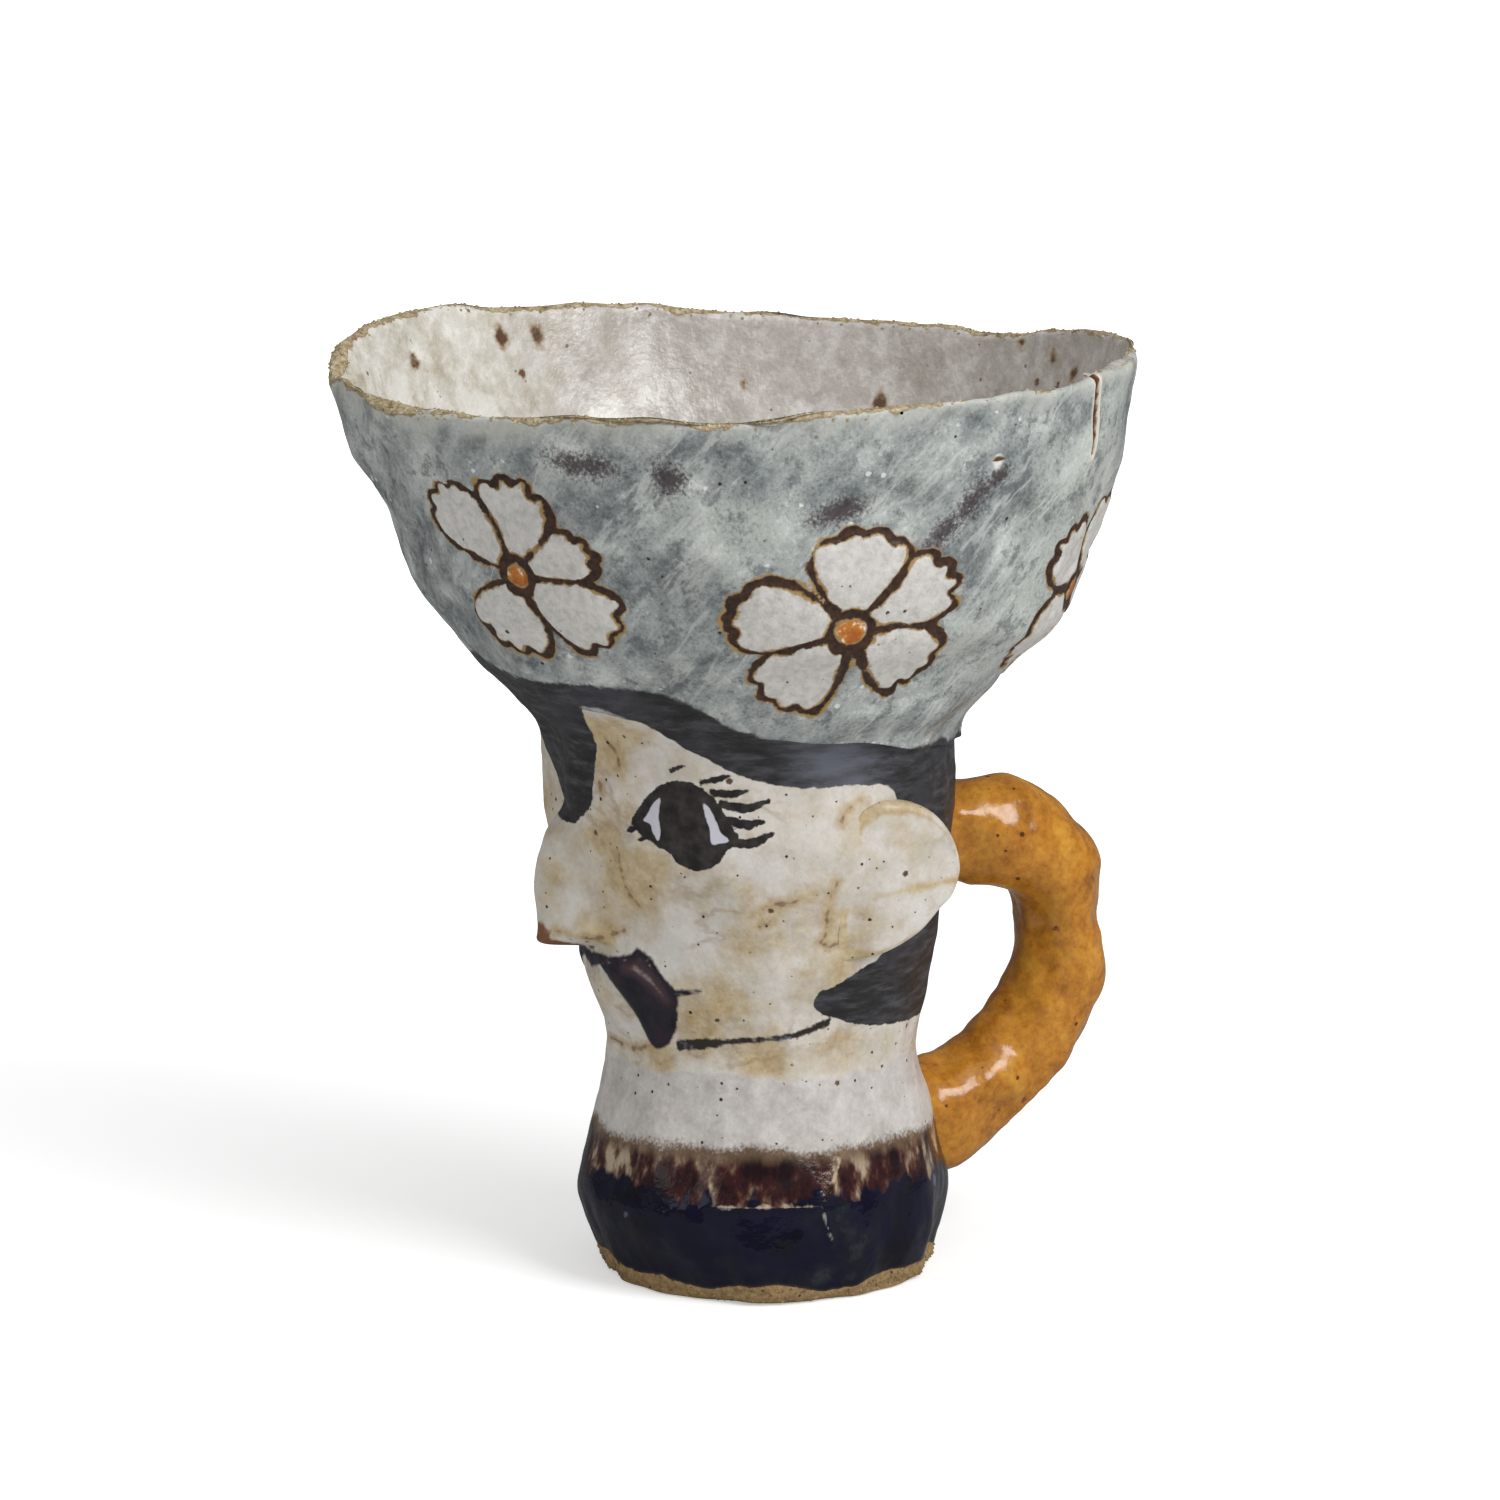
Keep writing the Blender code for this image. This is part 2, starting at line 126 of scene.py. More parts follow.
def reachAt(name, height):
    levels = np.array(vessel["height"], float)
    values = np.array(vessel[name], float)
    steps = np.diff(levels)
    secants = np.diff(values) / steps
    both = secants[:-1] * secants[1:]
    total = secants[:-1] + secants[1:]
    inner = np.where(both > 0, 2 * both / np.where(total == 0, 1, total), 0)
    slopes = np.concatenate([secants[:1], inner, secants[-1:]])
    span = np.clip(np.searchsorted(levels, height) - 1, 0, len(steps) - 1)
    step = steps[span]
    t = np.clip((height - levels[span]) / step, 0, 1)
    start = (1 + 2 * t) * (1 - t) ** 2 * values[span] + t * (1 - t) ** 2 * step * slopes[span]
    end = t * t * (3 - 2 * t) * values[span + 1] + t * t * (t - 1) * step * slopes[span + 1]
    return start + end + slopes[-1] * np.maximum(0, height - levels[-1])


def wallPoint(turn, height, inset=0.0):
    angle = np.radians(turn)
    for name in ("dent", "lips"):
        *place, depth = vessel[name]
        inset = inset + depth * softSpot(turn, height, *place)
    ahead = np.where(np.cos(angle) > 0, reachAt("front", height), reachAt("back", height)) - inset
    across = reachAt("side", height) - inset
    return np.stack([across * np.sin(angle), -ahead * np.cos(angle), height + 0 * turn], -1)


def wallOutward(turn, height):
    along = wallPoint(turn + 0.5, height) - wallPoint(turn - 0.5, height)
    upward = wallPoint(turn, height + 0.4) - wallPoint(turn, height - 0.4)
    square = np.cross(along, upward)
    return square / np.linalg.norm(square, axis=-1, keepdims=True)


def levelWall(turn, height, wall):
    outward = wallOutward(turn, height)
    return wall / np.maximum(0.4, np.hypot(outward[..., 0], outward[..., 1]))


def hatJoint(turn):
    middle, rise = vessel["joint"]
    return middle + rise * np.cos(np.radians(turn))


def rimHeight(turn):
    height = vessel["rim"]
    for count, size, start in vessel["rimWaves"]:
        height = height + size * np.cos(np.radians(count * turn + start))
    return height


def crowded(low, high, count, places):
    # steps that come closer at each place, given as (middle, half width, times as close)
    fine = np.linspace(low, high, 6000)
    density = np.ones(6000)
    for middle, half, times in places:
        near = ease(half * 1.3, half, np.abs(fine - middle))
        density = np.maximum(density, 1 + (times - 1) * near)
    total = np.concatenate([[0], np.cumsum((density[1:] + density[:-1]) / 2)])
    return np.interp(np.linspace(0, total[-1], count), total, fine)


# Painted shapes: the signed distance in mm to a brushed edge, below 0 where paint lies


def smoothLine(points, closed=False, steps=7):
    points = np.array(points, float)
    before = points[-1:] if closed else 2 * points[:1] - points[1:2]
    after = points[:2] if closed else 2 * points[-1:] - points[-2:-1]
    padded = np.concatenate([before, points, after])
    t = (np.arange(steps) / steps)[:, None]
    runs = []
    for a, b, c, d in zip(padded, padded[1:], padded[2:], padded[3:]):
        bend = 2 * b + (c - a) * t + (2 * a - 5 * b + 4 * c - d) * t**2
        runs.append((bend + (3 * b - a - 3 * c + d) * t**3) / 2)
    return np.concatenate(runs if closed else runs + [points[-1:]])


def offsetFrom(x, y, start, end):
    # from the nearest point of a straight line to each place
    (ax, ay), (bx, by) = start, end
    length = max(1e-9, (bx - ax) ** 2 + (by - ay) ** 2)
    t = np.clip(((x - ax) * (bx - ax) + (y - ay) * (by - ay)) / length, 0, 1)
    return x - ax - t * (bx - ax), y - ay - t * (by - ay)


def distanceTo(x, y, line, closed=False):
    nearest = np.full(np.shape(x), 1e9)
    ends = np.concatenate([line[1:], line[:1]]) if closed else line[1:]
    for start, end in zip(line, ends):
        along, across = offsetFrom(x, y, start, end)
        nearest = np.minimum(nearest, along**2 + across**2)
    return np.sqrt(nearest)


def edgeOf(x, y, outline):
    inside = np.zeros(np.shape(x), bool)
    for (ax, ay), (bx, by) in zip(outline, np.concatenate([outline[1:], outline[:1]])):
        crosses = (ay > y) != (by > y)
        inside ^= crosses & (x < (bx - ax) * (y - ay) / (by - ay if by != ay else 1e-9) + ax)
    away = distanceTo(x, y, outline, closed=True)
    return np.where(inside, -away, away)


def brushStroke(x, y, points, widths):
    line = smoothLine(points)
    places = np.linspace(0, 1, len(line))
    swell = np.interp(places, np.linspace(0, 1, len(widths)), widths)
    reach = np.full(np.shape(x), 1e9)
    for start, end, wide in zip(line, line[1:], swell):
        reach = np.minimum(reach, np.hypot(*offsetFrom(x, y, start, end)) - wide / 2)
    return reach


# Face paint: points are turn in degrees and height in mm; the far side mirrors the near one

facePaint = {
    "mmPerDegree": 0.55,
    "skin": [
        (0, 71.9), (8, 71.3), (15, 72.6), (20.5, 75.2), (22.3, 79), (23.8, 83.5), (26, 88.3),
        (29, 91.2), (33, 91.7), (38, 91.1), (44, 89.6), (51, 86.6), (58, 83.9), (66, 81.5),
        (78, 80), (93, 80), (106, 78.8), (111, 72), (114, 62), (109, 53.5), (100, 50.9),
        (92, 48.6), (87, 47.6), (85.6, 46.2), (87.5, 44.6), (95, 43), (110, 41.4), (140, 40.3),
        (181, 40),
    ],
    "forelock": (0.8, 25),  # how much narrower its far half is, over what turn
    "hatLine": [
        (0, 95.8), (14, 94.9), (30, 95.1), (46, 95.2), (54, 93.5), (62, 90.6), (70, 88.1),
        (79, 86.4), (94, 85.3), (120, 84.6), (150, 83), (181, 81.8),
    ],
    "lens": [
        (35.4, 73.6), (38.6, 77.2), (44.5, 80.2), (51, 80.9), (56.5, 79.2), (60.5, 75.6),
        (63.2, 72.4), (60.2, 70.4), (57.2, 68.3), (52, 67.2), (47.8, 68), (45, 69.8),
        (40.5, 71.3),
    ],
    "whites": [
        [
            (43.2, 77.9), (41, 76.8), (39.6, 75.2), (38.6, 74.4), (40.6, 73.9), (41.2, 72.8),
            (42.7, 71.6), (43.4, 73), (42.9, 75.4),
        ],
        [
            (54.8, 77.8), (56.6, 76.6), (57.9, 74.8), (59, 73.3), (61, 72.1), (58.4, 71.7),
            (56.7, 71.7), (56.2, 73.9), (55.2, 75.8),
        ],
    ],
    "lashes": [  # points along each stroke and its thickness
        ([(46.4, 82.2), (48.2, 82.8), (50.4, 83.2)], 0.6),
        ([(54.5, 80.9), (57.5, 81.3), (60.8, 81.9)], 0.9),
        ([(57.4, 79.4), (61.5, 79.2), (65.6, 79.7)], 1.2),
        ([(59.4, 77.6), (65, 77.1), (70.4, 78)], 1.4),
        ([(61, 75.2), (65, 74.6), (69.2, 75)], 1.4),
        ([(61.4, 72), (66.5, 71.8), (71.4, 73.3)], 1.5),
        ([(36.6, 73.2), (34, 72.5)], 0.9),
        ([(39.5, 71.9), (36.6, 71.2)], 0.6),
    ],
    "lashTaper": (0.9, 1, 0.35),
    "mouth": [
        (4, 49.9), (11, 50.1), (19, 50.9), (26.4, 52.4), (31, 51.3), (36, 48.7), (40.5, 47),
        (39.6, 44.3), (37.6, 41), (33.5, 38.5), (28.5, 37.5), (24.2, 38.6), (20.8, 41.8),
        (17.5, 45), (13.5, 47.6), (8, 49.3),
    ],
    "mouthStrokes": [  # points along each stroke and its widths
        ([(0, 49.3), (6, 50), (12, 50.5), (19, 51.2), (24, 51.9)], [2.2, 1.8, 1.2, 0.9, 0.8]),
        (
            [(24, 51.9), (26.4, 52.6), (31, 51.7), (36, 49.1), (40.5, 47.6), (49, 48.1)],
            [0.8, 0.9, 1.0, 1.2, 1.0, 0.3],
        ),
    ],
    # the painted highlight on the lips: a pale stroke under the upper lip line
    "gleam": ([(21.5, 50.2), (27, 50.2), (32.5, 48.5), (36.5, 46.4)], [1.2, 2.2, 1.9, 0.9]),
    "wisps": [  # thin brown lines where the glaze parted
        [(88, 74.5), (90, 76.3), (94, 77.6), (97, 77.2)],
        [(88, 66), (86.5, 62), (87, 58), (86, 56)],
        [(85, 56.5), (88, 55.3), (94, 56), (99, 57.5)],
        [(66, 60.5), (70, 62), (76, 62.8), (82, 64)],
        [(68, 59), (72, 60.2)],
        [(28, 86.5), (31, 83.5), (33, 80)],
        [(24, 80), (26, 77)],
        [(44, 43.5), (50, 45), (57, 45.2)],
        [(31, 60), (28, 64), (29, 68)],
        [(6, 56), (14, 54.6), (22, 55.6)],
        [(0, 36.9), (7, 36.6), (14, 36.4), (20, 36.9), (26, 38.2)],
    ],
    "wispWidths": [0.2, 0.7, 0.2],
    "jaw": [
        ([(38.5, 38.7), (46, 39.3), (54, 39.8)], [1.5, 1.7, 1.2]),
        ([(54, 39.8), (68, 40.4), (82, 41.1), (92, 42.6)], [0.9, 0.8, 0.9, 1.3]),
    ],
}


def paintFace(turn, height):
    scale = facePaint["mmPerDegree"]
    signed = aroundGap(turn, 0)
    side = np.abs(signed)
    x = side * scale

    def onWall(points):
        return [(t * scale, h) for t, h in points]

    def patch(outline):
        return edgeOf(x, height, smoothLine(onWall(outline), closed=True))

    def strokes(rows):
        reaches = [brushStroke(x, height, onWall(points), widths) for points, widths in rows]
        return np.minimum.reduce(reaches)

    skin = smoothLine(onWall(facePaint["skin"]))
    skin = np.concatenate([skin, [(181 * scale, 0), (-9, 0), (-9, skin[0][1])]])
    narrower, over = facePaint["forelock"]
    squeeze = np.where(signed < 0, 1 + narrower * np.exp(-((signed / over) ** 2)), 1)
    hair = -edgeOf(x * squeeze, height, skin)
    crown = np.interp(side, *np.array(facePaint["hatLine"]).T)
    lashes = [
        (points, [wide * share for share in facePaint["lashTaper"]])
        for points, wide in facePaint["lashes"]
    ]
    return {
        "hair": hair,
        "hatHair": np.maximum(hair, (height - crown) * 0.8),
        "eye": np.minimum(patch(facePaint["lens"]), strokes(lashes)),
        "eyeWhite": np.minimum(*[patch(outline) for outline in facePaint["whites"]]),
        "mouth": np.minimum(patch(facePaint["mouth"]), strokes(facePaint["mouthStrokes"])),
        "gleam": strokes([facePaint["gleam"]]),
        "jaw": strokes(facePaint["jaw"]),
        "wisp": strokes([(line, facePaint["wispWidths"]) for line in facePaint["wisps"]]),
    }


faceLayers = ("hair", "eye", "eyeWhite", "mouth", "gleam", "jaw", "wisp")


# Blossoms on the hat: five notched petals round a heart, outlined with a wide brush

blossoms = {
    "places": [(29.5, 112.6), (83.5, 106.2), (143, 106.6), (196, 108), (252, 107), (306, 109)],
    "leans": [  # the way each petal points, in degrees
        (132, 81, 24, -34, -120), (88, 34, -34, -122, 168), (140, 68, -4, -76, 212),
        (84, 12, -60, -132, 156), (96, 22, -48, -120, 168), (90, 20, -56, -128, 160),
    ],
    "mmPerDegree": 0.89,
    "sizes": [0.93, 1.0, 0.92, 0.98, 0.94, 1.0],
    "shapes": {  # length and width of each petal, where a blossom has its own
        0: [(1.04, 0.96), (1.0, 1.02), (0.86, 0.75), (1.02, 1.1), (0.9, 1.15)],
    },
    "slopeStretch": 1.2,  # the wall leans out, so a mm of height is more along the wall
    "reach": 18.0,
    "heart": 2.9,
    "halfWidth": 8.2,
    "notch": 0.19,
    "slipRise": 0.14,  # mm that the petals stand up
    "lineDepth": 0.32,  # mm that their outlines are pressed in
    "sway": 4,  # degrees
    "vary": 0.06,
    "far": 30.0,  # the distance where no blossom is near
    "seed": 7,
}


def petalOutline(lean, reach, wide, notch):
    around = np.linspace(-math.pi, math.pi, 80, endpoint=False)
    middle = (reach + blossoms["heart"]) / 2
    half = (reach - blossoms["heart"]) / 2 + 0.6
    nip = 1 - notch * np.exp(-(((np.abs(around) - 0.5) / 0.13) ** 2))
    nip = nip - notch * 0.7 * np.exp(-((around / 0.1) ** 2))
    along = middle + half * np.cos(around) * nip
    across = wide * np.sin(around) * (0.78 + 0.30 * np.cos(around)) * nip
    cos, sin = math.cos(lean), math.sin(lean)
    return np.stack([along * cos - across * sin, along * sin + across * cos], -1)


def paintBlossoms(turn, height):
    draw = np.random.default_rng(blossoms["seed"])
    vary = blossoms["vary"]
    petal = np.full(turn.shape, blossoms["far"])
    heart = np.full(turn.shape, blossoms["far"])
    flowers = zip(blossoms["places"], blossoms["leans"], blossoms["sizes"])
    for number, ((middleTurn, middleHeight), leans, size) in enumerate(flowers):
        shapes = blossoms["shapes"].get(number, [(1, 1)] * 5)
        x = aroundGap(turn, middleTurn) * blossoms["mmPerDegree"] / size
        y = (height - middleHeight) * blossoms["slopeStretch"] / size
        near = np.hypot(x, y) < blossoms["reach"] + 8
        x = x[near]
        y = y[near]
        edges = []
        for lean, (longer, wider) in zip(leans, shapes):
            jitter = draw.uniform(-1, 1, 4)
            angle = math.radians(lean + blossoms["sway"] * jitter[0])
            reach = blossoms["reach"] * longer * (1 + vary * jitter[1])
            wide = blossoms["halfWidth"] * wider * (1 + vary * jitter[2])
            notch = blossoms["notch"] + vary * jitter[3]
            edges.append(edgeOf(x, y, petalOutline(angle, reach, wide, notch)))
        first, second = np.sort(edges, 0)[:2]
        core = np.hypot(x, y * 0.85) - blossoms["heart"]
        # neighbours that touch share one line, and the heart lies on top
        inner = np.maximum(np.maximum(first, (first - second) / 2), -core)
        petal[near] = np.minimum(petal[near], inner)
        heart[near] = np.minimum(heart[near], core)
    return {"petal": petal, "heart": heart}


print("paint shapes ready")


# Meshes from rows of points

sharpFrom = 55.0  # degrees between faces that keep an edge


def meshFromRows(name, rows, attributes, ring=True):
    rowCount, columnCount = rows.shape[:2]
    index = np.arange(rowCount * columnCount).reshape(rowCount, columnCount)
    upper = np.roll(index, -1, 0) if ring else index[1:]
    lower = index if ring else index[:-1]
    quads = np.stack([lower, np.roll(lower, -1, 1), np.roll(upper, -1, 1), upper], -1)
    points = rows.reshape(-1, 3)
    faces = quads.reshape(-1, 4).tolist()
    if not ring:  # a pole closes each end
        poles = len(points)
        points = np.concatenate([points, rows[0].mean(0)[None], rows[-1].mean(0)[None]])
        faces += [[a, poles, b] for a, b in zip(np.roll(index[0], -1), index[0])]
        faces += [[a, b, poles + 1] for a, b in zip(index[-1], np.roll(index[-1], -1))]
    mesh = bpy.data.meshes.new(name)
    mesh.from_pydata((points * mm).tolist(), [], faces)
    for key, values in attributes.items():
        flat = np.asarray(values, np.float32).reshape(rowCount * columnCount, -1)
        if not ring:
            ends = [flat[:columnCount].mean(0)[None], flat[-columnCount:].mean(0)[None]]
            flat = np.concatenate([flat, *ends])
        vector = flat.shape[1] == 3
        layer = mesh.attributes.new(key, "FLOAT_VECTOR" if vector else "FLOAT", "POINT")
        layer.data.foreach_set("vector" if vector else "value", flat.ravel())
    mesh.validate()
    mesh.shade_smooth()
    mesh.set_sharp_from_angle(angle=math.radians(sharpFrom))
    piece = bpy.data.objects.new(name, mesh)
    bpy.context.scene.collection.objects.link(piece)
    return piece


# Every Geometry Nodes tree starts with its named inputs and ends in real geometry with its glaze


def newTree(name, inputs):
    tree = bpy.data.node_groups.new(name, "GeometryNodeTree")
    for label, kind in inputs.items():
        tree.interface.new_socket(label, in_out="INPUT", socket_type="NodeSocket" + kind)
    tree.interface.new_socket("Geometry", in_out="OUTPUT", socket_type="NodeSocketGeometry")
    return tree, addNode(tree, "NodeGroupInput")


def endTree(tree, geometry, material):
    real = addNode(tree, "GeometryNodeRealizeInstances", {}, {"Geometry": geometry})[0]
    feeds = {"Geometry": real, "Material": material}
    dressed = addNode(tree, "GeometryNodeSetMaterial", {}, feeds)[0]
    addNode(tree, "NodeGroupOutput", {}, {"Geometry": dressed})
    return tree


def runTree(piece, tree, values):
    worker = piece.modifiers.new(tree.name, "NODES")
    worker.node_group = tree
    for item in tree.interface.items_tree:
        if item.in_out == "INPUT" and item.name in values:
            worker[item.identifier] = values[item.name]
    graph = bpy.context.evaluated_depsgraph_get()
    made = bpy.data.meshes.new_from_object(
        piece.evaluated_get(graph), preserve_all_data_layers=True, depsgraph=graph
    )
    piece.modifiers.remove(worker)
    old = piece.data
    piece.data = made
    bpy.data.meshes.remove(old)
    made.name = piece.name


# Hand marks on clay: finger dents, broad lumps and small ripples, along the stored "outward"

handMarks = {
    "Dent Size": 12.0, "Dent Depth": 2.2, "Lump Size": 22.0, "Lump Depth": 3.0,
    "Ripple Size": 4.2, "Ripple Depth": 0.7,
}
markSeed = 3.0


def pushOf(tree, texture, middle, depth):
    centred = addNode(tree, "ShaderNodeMath", {"operation": "SUBTRACT"}, {0: texture, 1: middle})[0]
    return addNode(tree, "ShaderNodeMath", {"operation": "MULTIPLY"}, {0: centred, 1: depth})[0]


def buildHandMarks():
    inputs = {"Geometry": "Geometry"} | dict.fromkeys((*handMarks, "Seed"), "Float")
    tree, given = newTree("handMarks", inputs | {"Material": "Material"})
    place = addNode(tree, "GeometryNodeInputPosition")[0]
    stored = []
    for name, kind in (("outward", "FLOAT_VECTOR"), ("freedom", "FLOAT")):
        settings = {"data_type": kind}
        found = addNode(tree, "GeometryNodeInputNamedAttribute", settings, {"Name": name})
        stored.append(found[0])
    outward, freedom = stored
    scales = {}
    for label in ("Dent", "Lump", "Ripple"):
        feeds = {0: 1.0, 1: given[label + " Size"]}
        scales[label] = addNode(tree, "ShaderNodeMath", {"operation": "DIVIDE"}, feeds)[0]
    cells = addNode(
        tree, "ShaderNodeTexVoronoi", {"voronoi_dimensions": "4D", "feature": "SMOOTH_F1"},
        {"Vector": place, "W": given["Seed"], "Scale": scales["Dent"], "Smoothness": 0.5},
    )
    total = pushOf(tree, cells["Distance"], 0.5, given["Dent Depth"])
    for label in ("Lump", "Ripple"):
        noise = addNode(
            tree, "ShaderNodeTexNoise", {"noise_dimensions": "4D"},
            {"Vector": place, "W": given["Seed"], "Scale": scales[label], "Detail": 1.0},
        )
        push = pushOf(tree, noise[0], 0.55, given[label + " Depth"])
        total = addNode(tree, "ShaderNodeMath", {"operation": "ADD"}, {0: total, 1: push})[0]
    total = addNode(tree, "ShaderNodeMath", {"operation": "MULTIPLY"}, {0: total, 1: freedom})[0]
    feeds = {0: outward, "Scale": total}
    offset = addNode(tree, "ShaderNodeVectorMath", {"operation": "SCALE"}, feeds)[0]
    feeds = {"Geometry": given["Geometry"], "Offset": offset}
    moved = addNode(tree, "GeometryNodeSetPosition", {}, feeds)[0]
    return endTree(tree, moved, given["Material"])


markTree = buildHandMarks()


def pressMarks(piece, material, strength=1.0):
    values = {}
    for label, size in handMarks.items():
        values[label] = size * mm * (strength if "Depth" in label else 1)
    runTree(piece, markTree, values | {"Seed": markSeed, "Material": material})


# Grit: coarse sand that stands out of the bare clay, sown by the mesh's own "sandy" value

grit = {  # grains per square mm, half sizes in mm
    "Density": 1.5, "Smallest": 0.10, "Largest": 0.30, "Seed": 5,
}


def buildGrit():
    inputs = {"Geometry": "Geometry"} | dict.fromkeys(("Density", "Smallest", "Largest"), "Float")
    tree, given = newTree("clayGrit", inputs | {"Seed": "Int", "Material": "Material"})
    kind = {"data_type": "FLOAT"}
    sandy = addNode(tree, "GeometryNodeInputNamedAttribute", kind, {"Name": "sandy"})[0]
    feeds = {0: sandy, 1: given["Density"]}
    many = addNode(tree, "ShaderNodeMath", {"operation": "MULTIPLY"}, feeds)[0]
    feeds = {"Mesh": given["Geometry"], "Density": many, "Seed": given["Seed"]}
    sown = addNode(tree, "GeometryNodeDistributePointsOnFaces", {}, feeds)
    grain = addNode(tree, "GeometryNodeMeshIcoSphere", {}, {"Radius": 1.0, "Subdivisions": 1})[0]
    for name, value in (("bare", -2.0), ("lip", -2.0), ("crack", 9.0)):  # the clay's own colour
        feeds = {"Geometry": grain, "Name": name, "Value": value}
        grain = addNode(tree, "GeometryNodeStoreNamedAttribute", kind, feeds)[0]
    feeds = {2: given["Smallest"], 3: given["Largest"], "Seed": given["Seed"]}
    size = addNode(tree, "FunctionNodeRandomValue", kind, feeds)[1]
    feeds = {"Points": sown["Points"], "Rotation": sown["Rotation"]}
    feeds |= {"Instance": grain, "Scale": size}
    grains = addNode(tree, "GeometryNodeInstanceOnPoints", {}, feeds)[0]
    both = addNode(tree, "GeometryNodeJoinGeometry")[0]
    for part in (grains, given["Geometry"]):
        tree.links.new(part, both.node.inputs[0])
    return endTree(tree, both, given["Material"])


gritTree = buildGrit()


def sowGrit(piece, material):
    values = {"Density": grit["Density"] / mm**2, "Seed": grit["Seed"], "Material": material}
    values |= {label: grit[label] * mm for label in ("Smallest", "Largest")}
    runTree(piece, gritTree, values)


def settle(piece, node):
    # keeps the piece inside the CAD box, hangs it on the root body and hides its node's CAD part
    count = len(piece.data.vertices)
    points = np.empty(count * 3, np.float32)
    piece.data.vertices.foreach_get("co", points)
    points = np.clip(points.reshape(-1, 3), np.array(cadLow), np.array(cadHigh))
    piece.data.vertices.foreach_set("co", points.astype(np.float32).ravel())
    piece.data.update()
    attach(piece, "root")
    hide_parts(node)
    print(node, "dressed with", len(piece.data.polygons), "faces")


# Glazes share these layers

softStep = {"interpolation_type": "SMOOTHSTEP"}
timesPlus = {"operation": "MULTIPLY_ADD"}


def patchesOf(spot, sizeMm, detail=3.0, rough=0.55):
    # what a noise texture is fed for patches of a real size
    return {"Vector": spot, "Scale": perMm(sizeMm), "Detail": detail, "Roughness": rough}


def fromTo(value, low, high, start, end):
    # what a Map Range is fed to give start where value is low and end where it is high
    return {"Value": value, "From Min": low, "From Max": high, "To Min": start, "To Max": end}


def newGlaze(name, marks=()):
    # a fired surface, with the cup's own coordinates and the marks stored on its mesh
    material = bpy.data.materials.new(name)
    material.use_nodes = True
    tree = material.node_tree
    spot = addNode(tree, "ShaderNodeTexCoord")["Object"]
    painted = {}
    for mark in marks:
        found = addNode(tree, "ShaderNodeAttribute", {"attribute_name": mark})
        painted[mark] = found["Fac"]
    return material, tree, spot, painted


def uneven(tree, spot, sizeMm, amount, base, detail=3.0, rough=0.55):
    # a value lifted here and there, in patches of that size
    noise = addNode(tree, "ShaderNodeTexNoise", {}, patchesOf(spot, sizeMm, detail, rough))[0]
    return addNode(tree, "ShaderNodeMath", timesPlus, {0: noise, 1: amount, 2: base})[0]


def wobbledEdge(tree, spot, edge, sizeMm, amountMm):
    # an edge made uneven to both sides, as a loaded brush leaves it
    noise = addNode(tree, "ShaderNodeTexNoise", {}, patchesOf(spot, sizeMm))[0]
    centred = addNode(tree, "ShaderNodeMath", {"operation": "SUBTRACT"}, {0: noise, 1: 0.5})[0]
    return addNode(tree, "ShaderNodeMath", timesPlus, {0: centred, 1: amountMm, 2: edge})[0]


def brushOver(tree, under, edge, over, low, high, full=1.0, gone=0.0):
    # lays a colour over another, in full where edge is under low and gone above high
    share = addNode(tree, "ShaderNodeMapRange", softStep, fromTo(edge, low, high, full, gone))[0]
    return addNode(tree, "ShaderNodeMix", {"data_type": "RGBA"}, {0: share, 6: under, 7: over})[2]


def mottle(tree, spot, sizeMm, stops, detail=4.0, rough=0.6):
    # a colour that wanders between its stops, in patches of that size
    noise = addNode(tree, "ShaderNodeTexNoise", {}, patchesOf(spot, sizeMm, detail, rough))[0]
    return addNode(tree, "ShaderNodeValToRGB", {}, {"Fac": noise}, stops)["Color"]


def mottleOver(tree, under, share, spot, sizeMm, stops, detail, rough):
    feeds = {0: share, 6: under, 7: mottle(tree, spot, sizeMm, stops, detail, rough)}
    return addNode(tree, "ShaderNodeMix", {"data_type": "RGBA"}, feeds)[2]


def specks(tree, spot, spacingMm, sizeMm, code, under, rare=7.0):
    # scattered iron spots with ragged edges, each in its own cell, few of them large
    feeds = {"Vector": spot, "Scale": perMm(sizeMm * 0.6), "Detail": 2.0}
    noise = addNode(tree, "ShaderNodeTexNoise", {}, feeds)["Color"]
    feeds = {0: noise, 1: [sizeMm * 0.9 * mm] * 3, 2: spot}
    shaken = addNode(tree, "ShaderNodeVectorMath", timesPlus, feeds)[0]
    cell = addNode(tree, "ShaderNodeTexVoronoi", {}, {"Vector": shaken, "Scale": perMm(spacingMm)})
    chance = addNode(tree, "ShaderNodeSeparateColor", {}, {"Color": cell["Color"]})[0]
    size = addNode(tree, "ShaderNodeMath", {"operation": "POWER"}, {0: chance, 1: rare})[0]
    feeds = {0: size, 1: -sizeMm / spacingMm, 2: cell["Distance"]}
    reach = addNode(tree, "ShaderNodeMath", timesPlus, feeds)[0]
    return brushOver(tree, under, reach, code, -0.05, 0.03)


